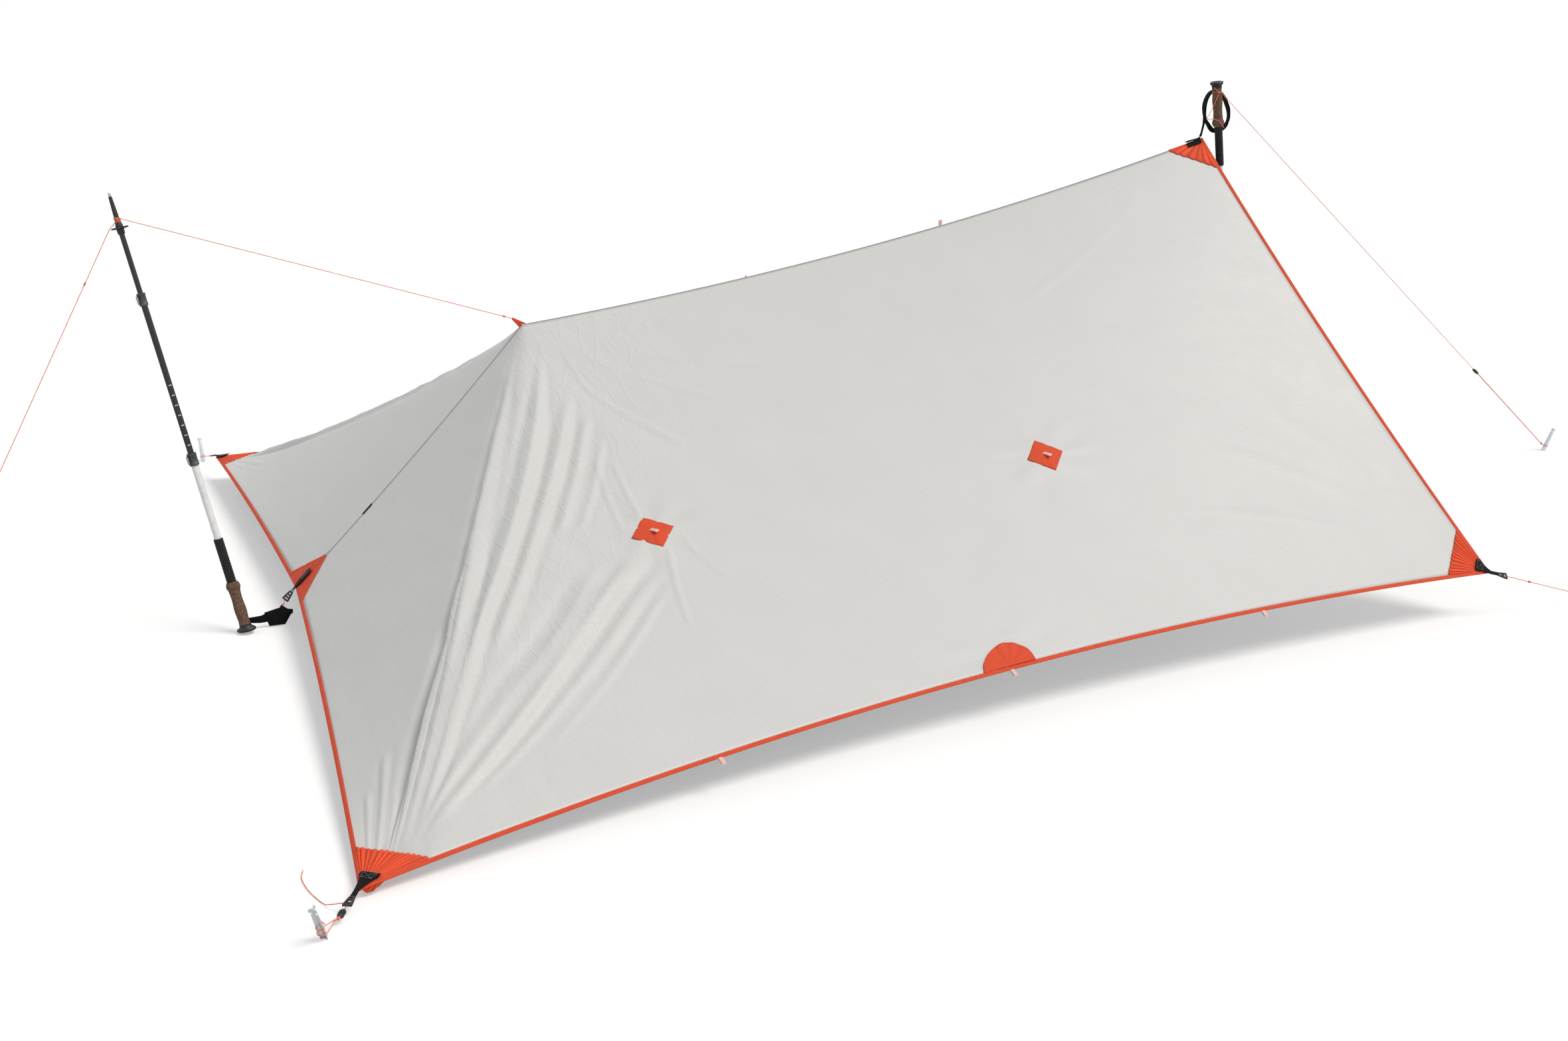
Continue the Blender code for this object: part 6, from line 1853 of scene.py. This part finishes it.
def studio_board(add, shader, stage):
    """Matt white studio board; the camera sees it glow a little, so that it meets the white."""
    give(shader, Base_Color=(*stage.floor, 1.0), Roughness=0.9, Specular_IOR_Level=0.0)
    seen = add("LightPath", out="Is Camera Ray")
    glow = add("Math", seen, stage.floor_glow, operation="MULTIPLY")
    give(shader, Emission_Color=WHITE, Emission_Strength=glow)


class TARP_OT_stage(TarpPiece, bpy.types.Operator):
    """Set the plain floor, the soft light and the camera"""

    bl_idname = "tarp.stage"
    bl_label = "Floor, light and camera"

    def build(self, context):
        scene = context.scene
        mesh = bpy.data.meshes.new("floor")
        a, z = FLOOR_HALF, PITCH.z - FLOOR_DROP
        mesh.from_pydata([(-a, -a, z), (a, -a, z), (a, a, z), (-a, a, z)], [], [(0, 1, 2, 3)])
        mesh.materials.append(new_material("studio_board", studio_board, scene.tarp_stage))
        new_object("floor", mesh)
        self.add_sky(scene)
        sun = bpy.data.lights.new("soft_sun", "SUN")
        sun.energy = scene.tarp_stage.key_power
        sun.color = SUN_COLOUR
        sun.angle = SUN_WIDTH
        lamp = new_object("soft_sun", sun)
        lamp.rotation_euler = SUN_FROM.to_track_quat("Z", "Y").to_euler()
        camera = bpy.data.cameras.new("camera")
        camera.lens, camera.sensor_width, camera.clip_end = LENS, SENSOR, 200.0
        view = new_object("camera", camera)
        right, ahead = CAMERA_RIGHT.normalized(), CAMERA_AHEAD.normalized()
        right = (right - ahead * right.dot(ahead)).normalized()
        up = right.cross(ahead)
        turn = Matrix((right, up, -ahead)).transposed().to_4x4()
        view.matrix_world = Matrix.Translation(CAMERA_AT + PITCH) @ turn
        scene.camera = view
        scene.view_settings.view_transform = "Standard"

    def add_sky(self, scene):
        world = bpy.data.worlds.new("studio")
        world.use_nodes = True
        scene.world = world
        world.node_tree.nodes.clear()
        add = partial(add_node, world.node_tree)
        rays = add("LightPath").node.outputs
        seen = rays["Is Camera Ray"]
        for other in ("Is Glossy Ray", "Is Transmission Ray"):
            seen = add("Math", seen, rays[other], operation="MAXIMUM")
        strength = add("MapRange", seen, To_Min=scene.tarp_stage.sky_power, To_Max=1.0)
        tint = add("Mix", seen, out=2, data_type="RGBA", inputs={6: SKY_TINT, 7: WHITE})
        back = add("Background", Color=tint, Strength=strength)
        add("OutputWorld", Surface=back)


class TARP_OT_canopy(TarpPiece, bpy.types.Operator):
    """Drape the two panels of the canopy, with their tension folds"""

    bl_idname = "tarp.canopy"
    bl_label = "Canopy cloth"

    def build(self, context):
        size = context.scene.tarp_cloth
        for panel in panels():
            s, t, points = panel.cloth(size.fold_height, size.crinkle)
            name, flat = "canopy_" + panel.side, panel.flat(s, t)
            creased = panel.crumpled(s, t)
            made = add_sheet(name, points, flat, "canopy", UP, size.thickness, 0.0, crumple=creased)
            dress(made, "canopy", panel.side + "_panel")


class TARP_OT_binding(TarpPiece, bpy.types.Operator):
    """Bind the hem and sew on its loops and the patches at the middle of the long sides"""

    bl_idname = "tarp.binding"
    bl_label = "Hem binding"

    def build(self, context):
        near, far = panels()
        add_binding(near, far)
        add_hem_loops((near, far))
        runs = []
        for panel in (near, far):
            add_edge_patch(panel, runs)
        add_stitches("edge_patch_stitches", runs, "thread", "binding")


class TARP_OT_seam(TarpPiece, bpy.types.Operator):
    """Close the ridge with its felled seam and tape"""

    bl_idname = "tarp.seam"
    bl_label = "Ridge seam"

    def build(self, context):
        add_seam(panels()[0])


class TARP_OT_patches(TarpPiece, bpy.types.Operator):
    """Sew on the pleated corner patches and the patches folded over the ridge"""

    bl_idname = "tarp.patches"
    bl_label = "Corner and ridge patches"

    def build(self, context):
        near, far = panels()
        runs = []
        for panel in (near, far):
            for which in ("low", "high"):
                add_corner_patch(panel, which, runs)
        for which in ("low", "high"):
            add_ridge_patch(near, far, which, runs)
        add_gathered_tip(near, "low")
        add_stitches("patch_stitches", runs, "thread", "binding")


class TARP_OT_pull_outs(TarpPiece, bpy.types.Operator):
    """Sew on the pull-outs with their loops"""

    bl_idname = "tarp.pull_outs"
    bl_label = "Pull-outs"

    def build(self, context):
        runs = []
        for panel in panels():
            for which in PULL_OUTS:
                add_pull_out(panel, which, runs)
        add_stitches("pull_out_stitches", runs, "thread", "binding")


class TARP_OT_pegs(TarpPiece, bpy.types.Operator):
    """Drive in the six finned pegs"""

    bl_idname = "tarp.pegs"
    bl_label = "Pegs"

    def build(self, context):
        for name in STAKES:
            add_stake(name)


class TARP_OT_poles(TarpPiece, bpy.types.Operator):
    """Stand up the two trekking poles"""

    bl_idname = "tarp.poles"
    bl_label = "Trekking poles"

    def build(self, context):
        for pole in both_poles(context.scene.tarp_poles.sides):
            pole.build()
        add_left_strap()
        add_right_strap()


class TARP_OT_lines(TarpPiece, bpy.types.Operator):
    """Tie the guy lines, with the webbing tabs, line locks and sliders that hold them"""

    bl_idname = "tarp.lines"
    bl_label = "Lines and webbing"

    def build(self, context):
        near, far = panels()
        left, right = both_poles(context.scene.tarp_poles.sides)
        runs = []
        add_corner_lines(near, far, runs)
        add_low_ridge_end(near, far, runs)
        add_high_ridge_end(near)
        add_guy_lines(near, left, right, runs)
        add_stitches("webbing_stitches", runs, "pale_thread", "webbing")


class TARP_PT_build(bpy.types.Panel):
    """The sizes and colours of the tarp, and a button for each group of pieces."""

    bl_idname = "TARP_PT_build"
    bl_label = "Pitched tarp"
    bl_space_type = "VIEW_3D"
    bl_region_type = "UI"
    bl_category = "Tarp"

    def draw(self, context):
        for group, attribute in GROUPS:
            box = self.layout.box()
            box.label(text=group.__doc__.rstrip("."))
            for name in group.__annotations__:
                box.prop(getattr(context.scene, attribute), name)
        for operator in OPERATORS:
            self.layout.operator(operator.bl_idname)


GROUPS = (
    (TarpCloth, "tarp_cloth"), (TarpSewing, "tarp_sewing"), (TarpLines, "tarp_lines"),
    (TarpPoles, "tarp_poles"), (TarpStage, "tarp_stage"),
)
OPERATORS = (
    TARP_OT_stage, TARP_OT_lines, TARP_OT_poles, TARP_OT_canopy, TARP_OT_binding, TARP_OT_seam,
    TARP_OT_patches, TARP_OT_pull_outs, TARP_OT_pegs,
)


def register():
    for group, attribute in GROUPS:
        bpy.utils.register_class(group)
        setattr(bpy.types.Scene, attribute, bpy.props.PointerProperty(type=group))
    for cls in (*OPERATORS, TARP_PT_build):
        bpy.utils.register_class(cls)


def unregister():
    for cls in (TARP_PT_build, *reversed(OPERATORS)):
        bpy.utils.unregister_class(cls)
    for group, attribute in reversed(GROUPS):
        delattr(bpy.types.Scene, attribute)
        bpy.utils.unregister_class(group)


def main():
    register()
    for operator in OPERATORS:
        getattr(bpy.ops.tarp, operator.bl_idname.split(".")[1])()
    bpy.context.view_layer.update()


if __name__ == "__main__":
    main()
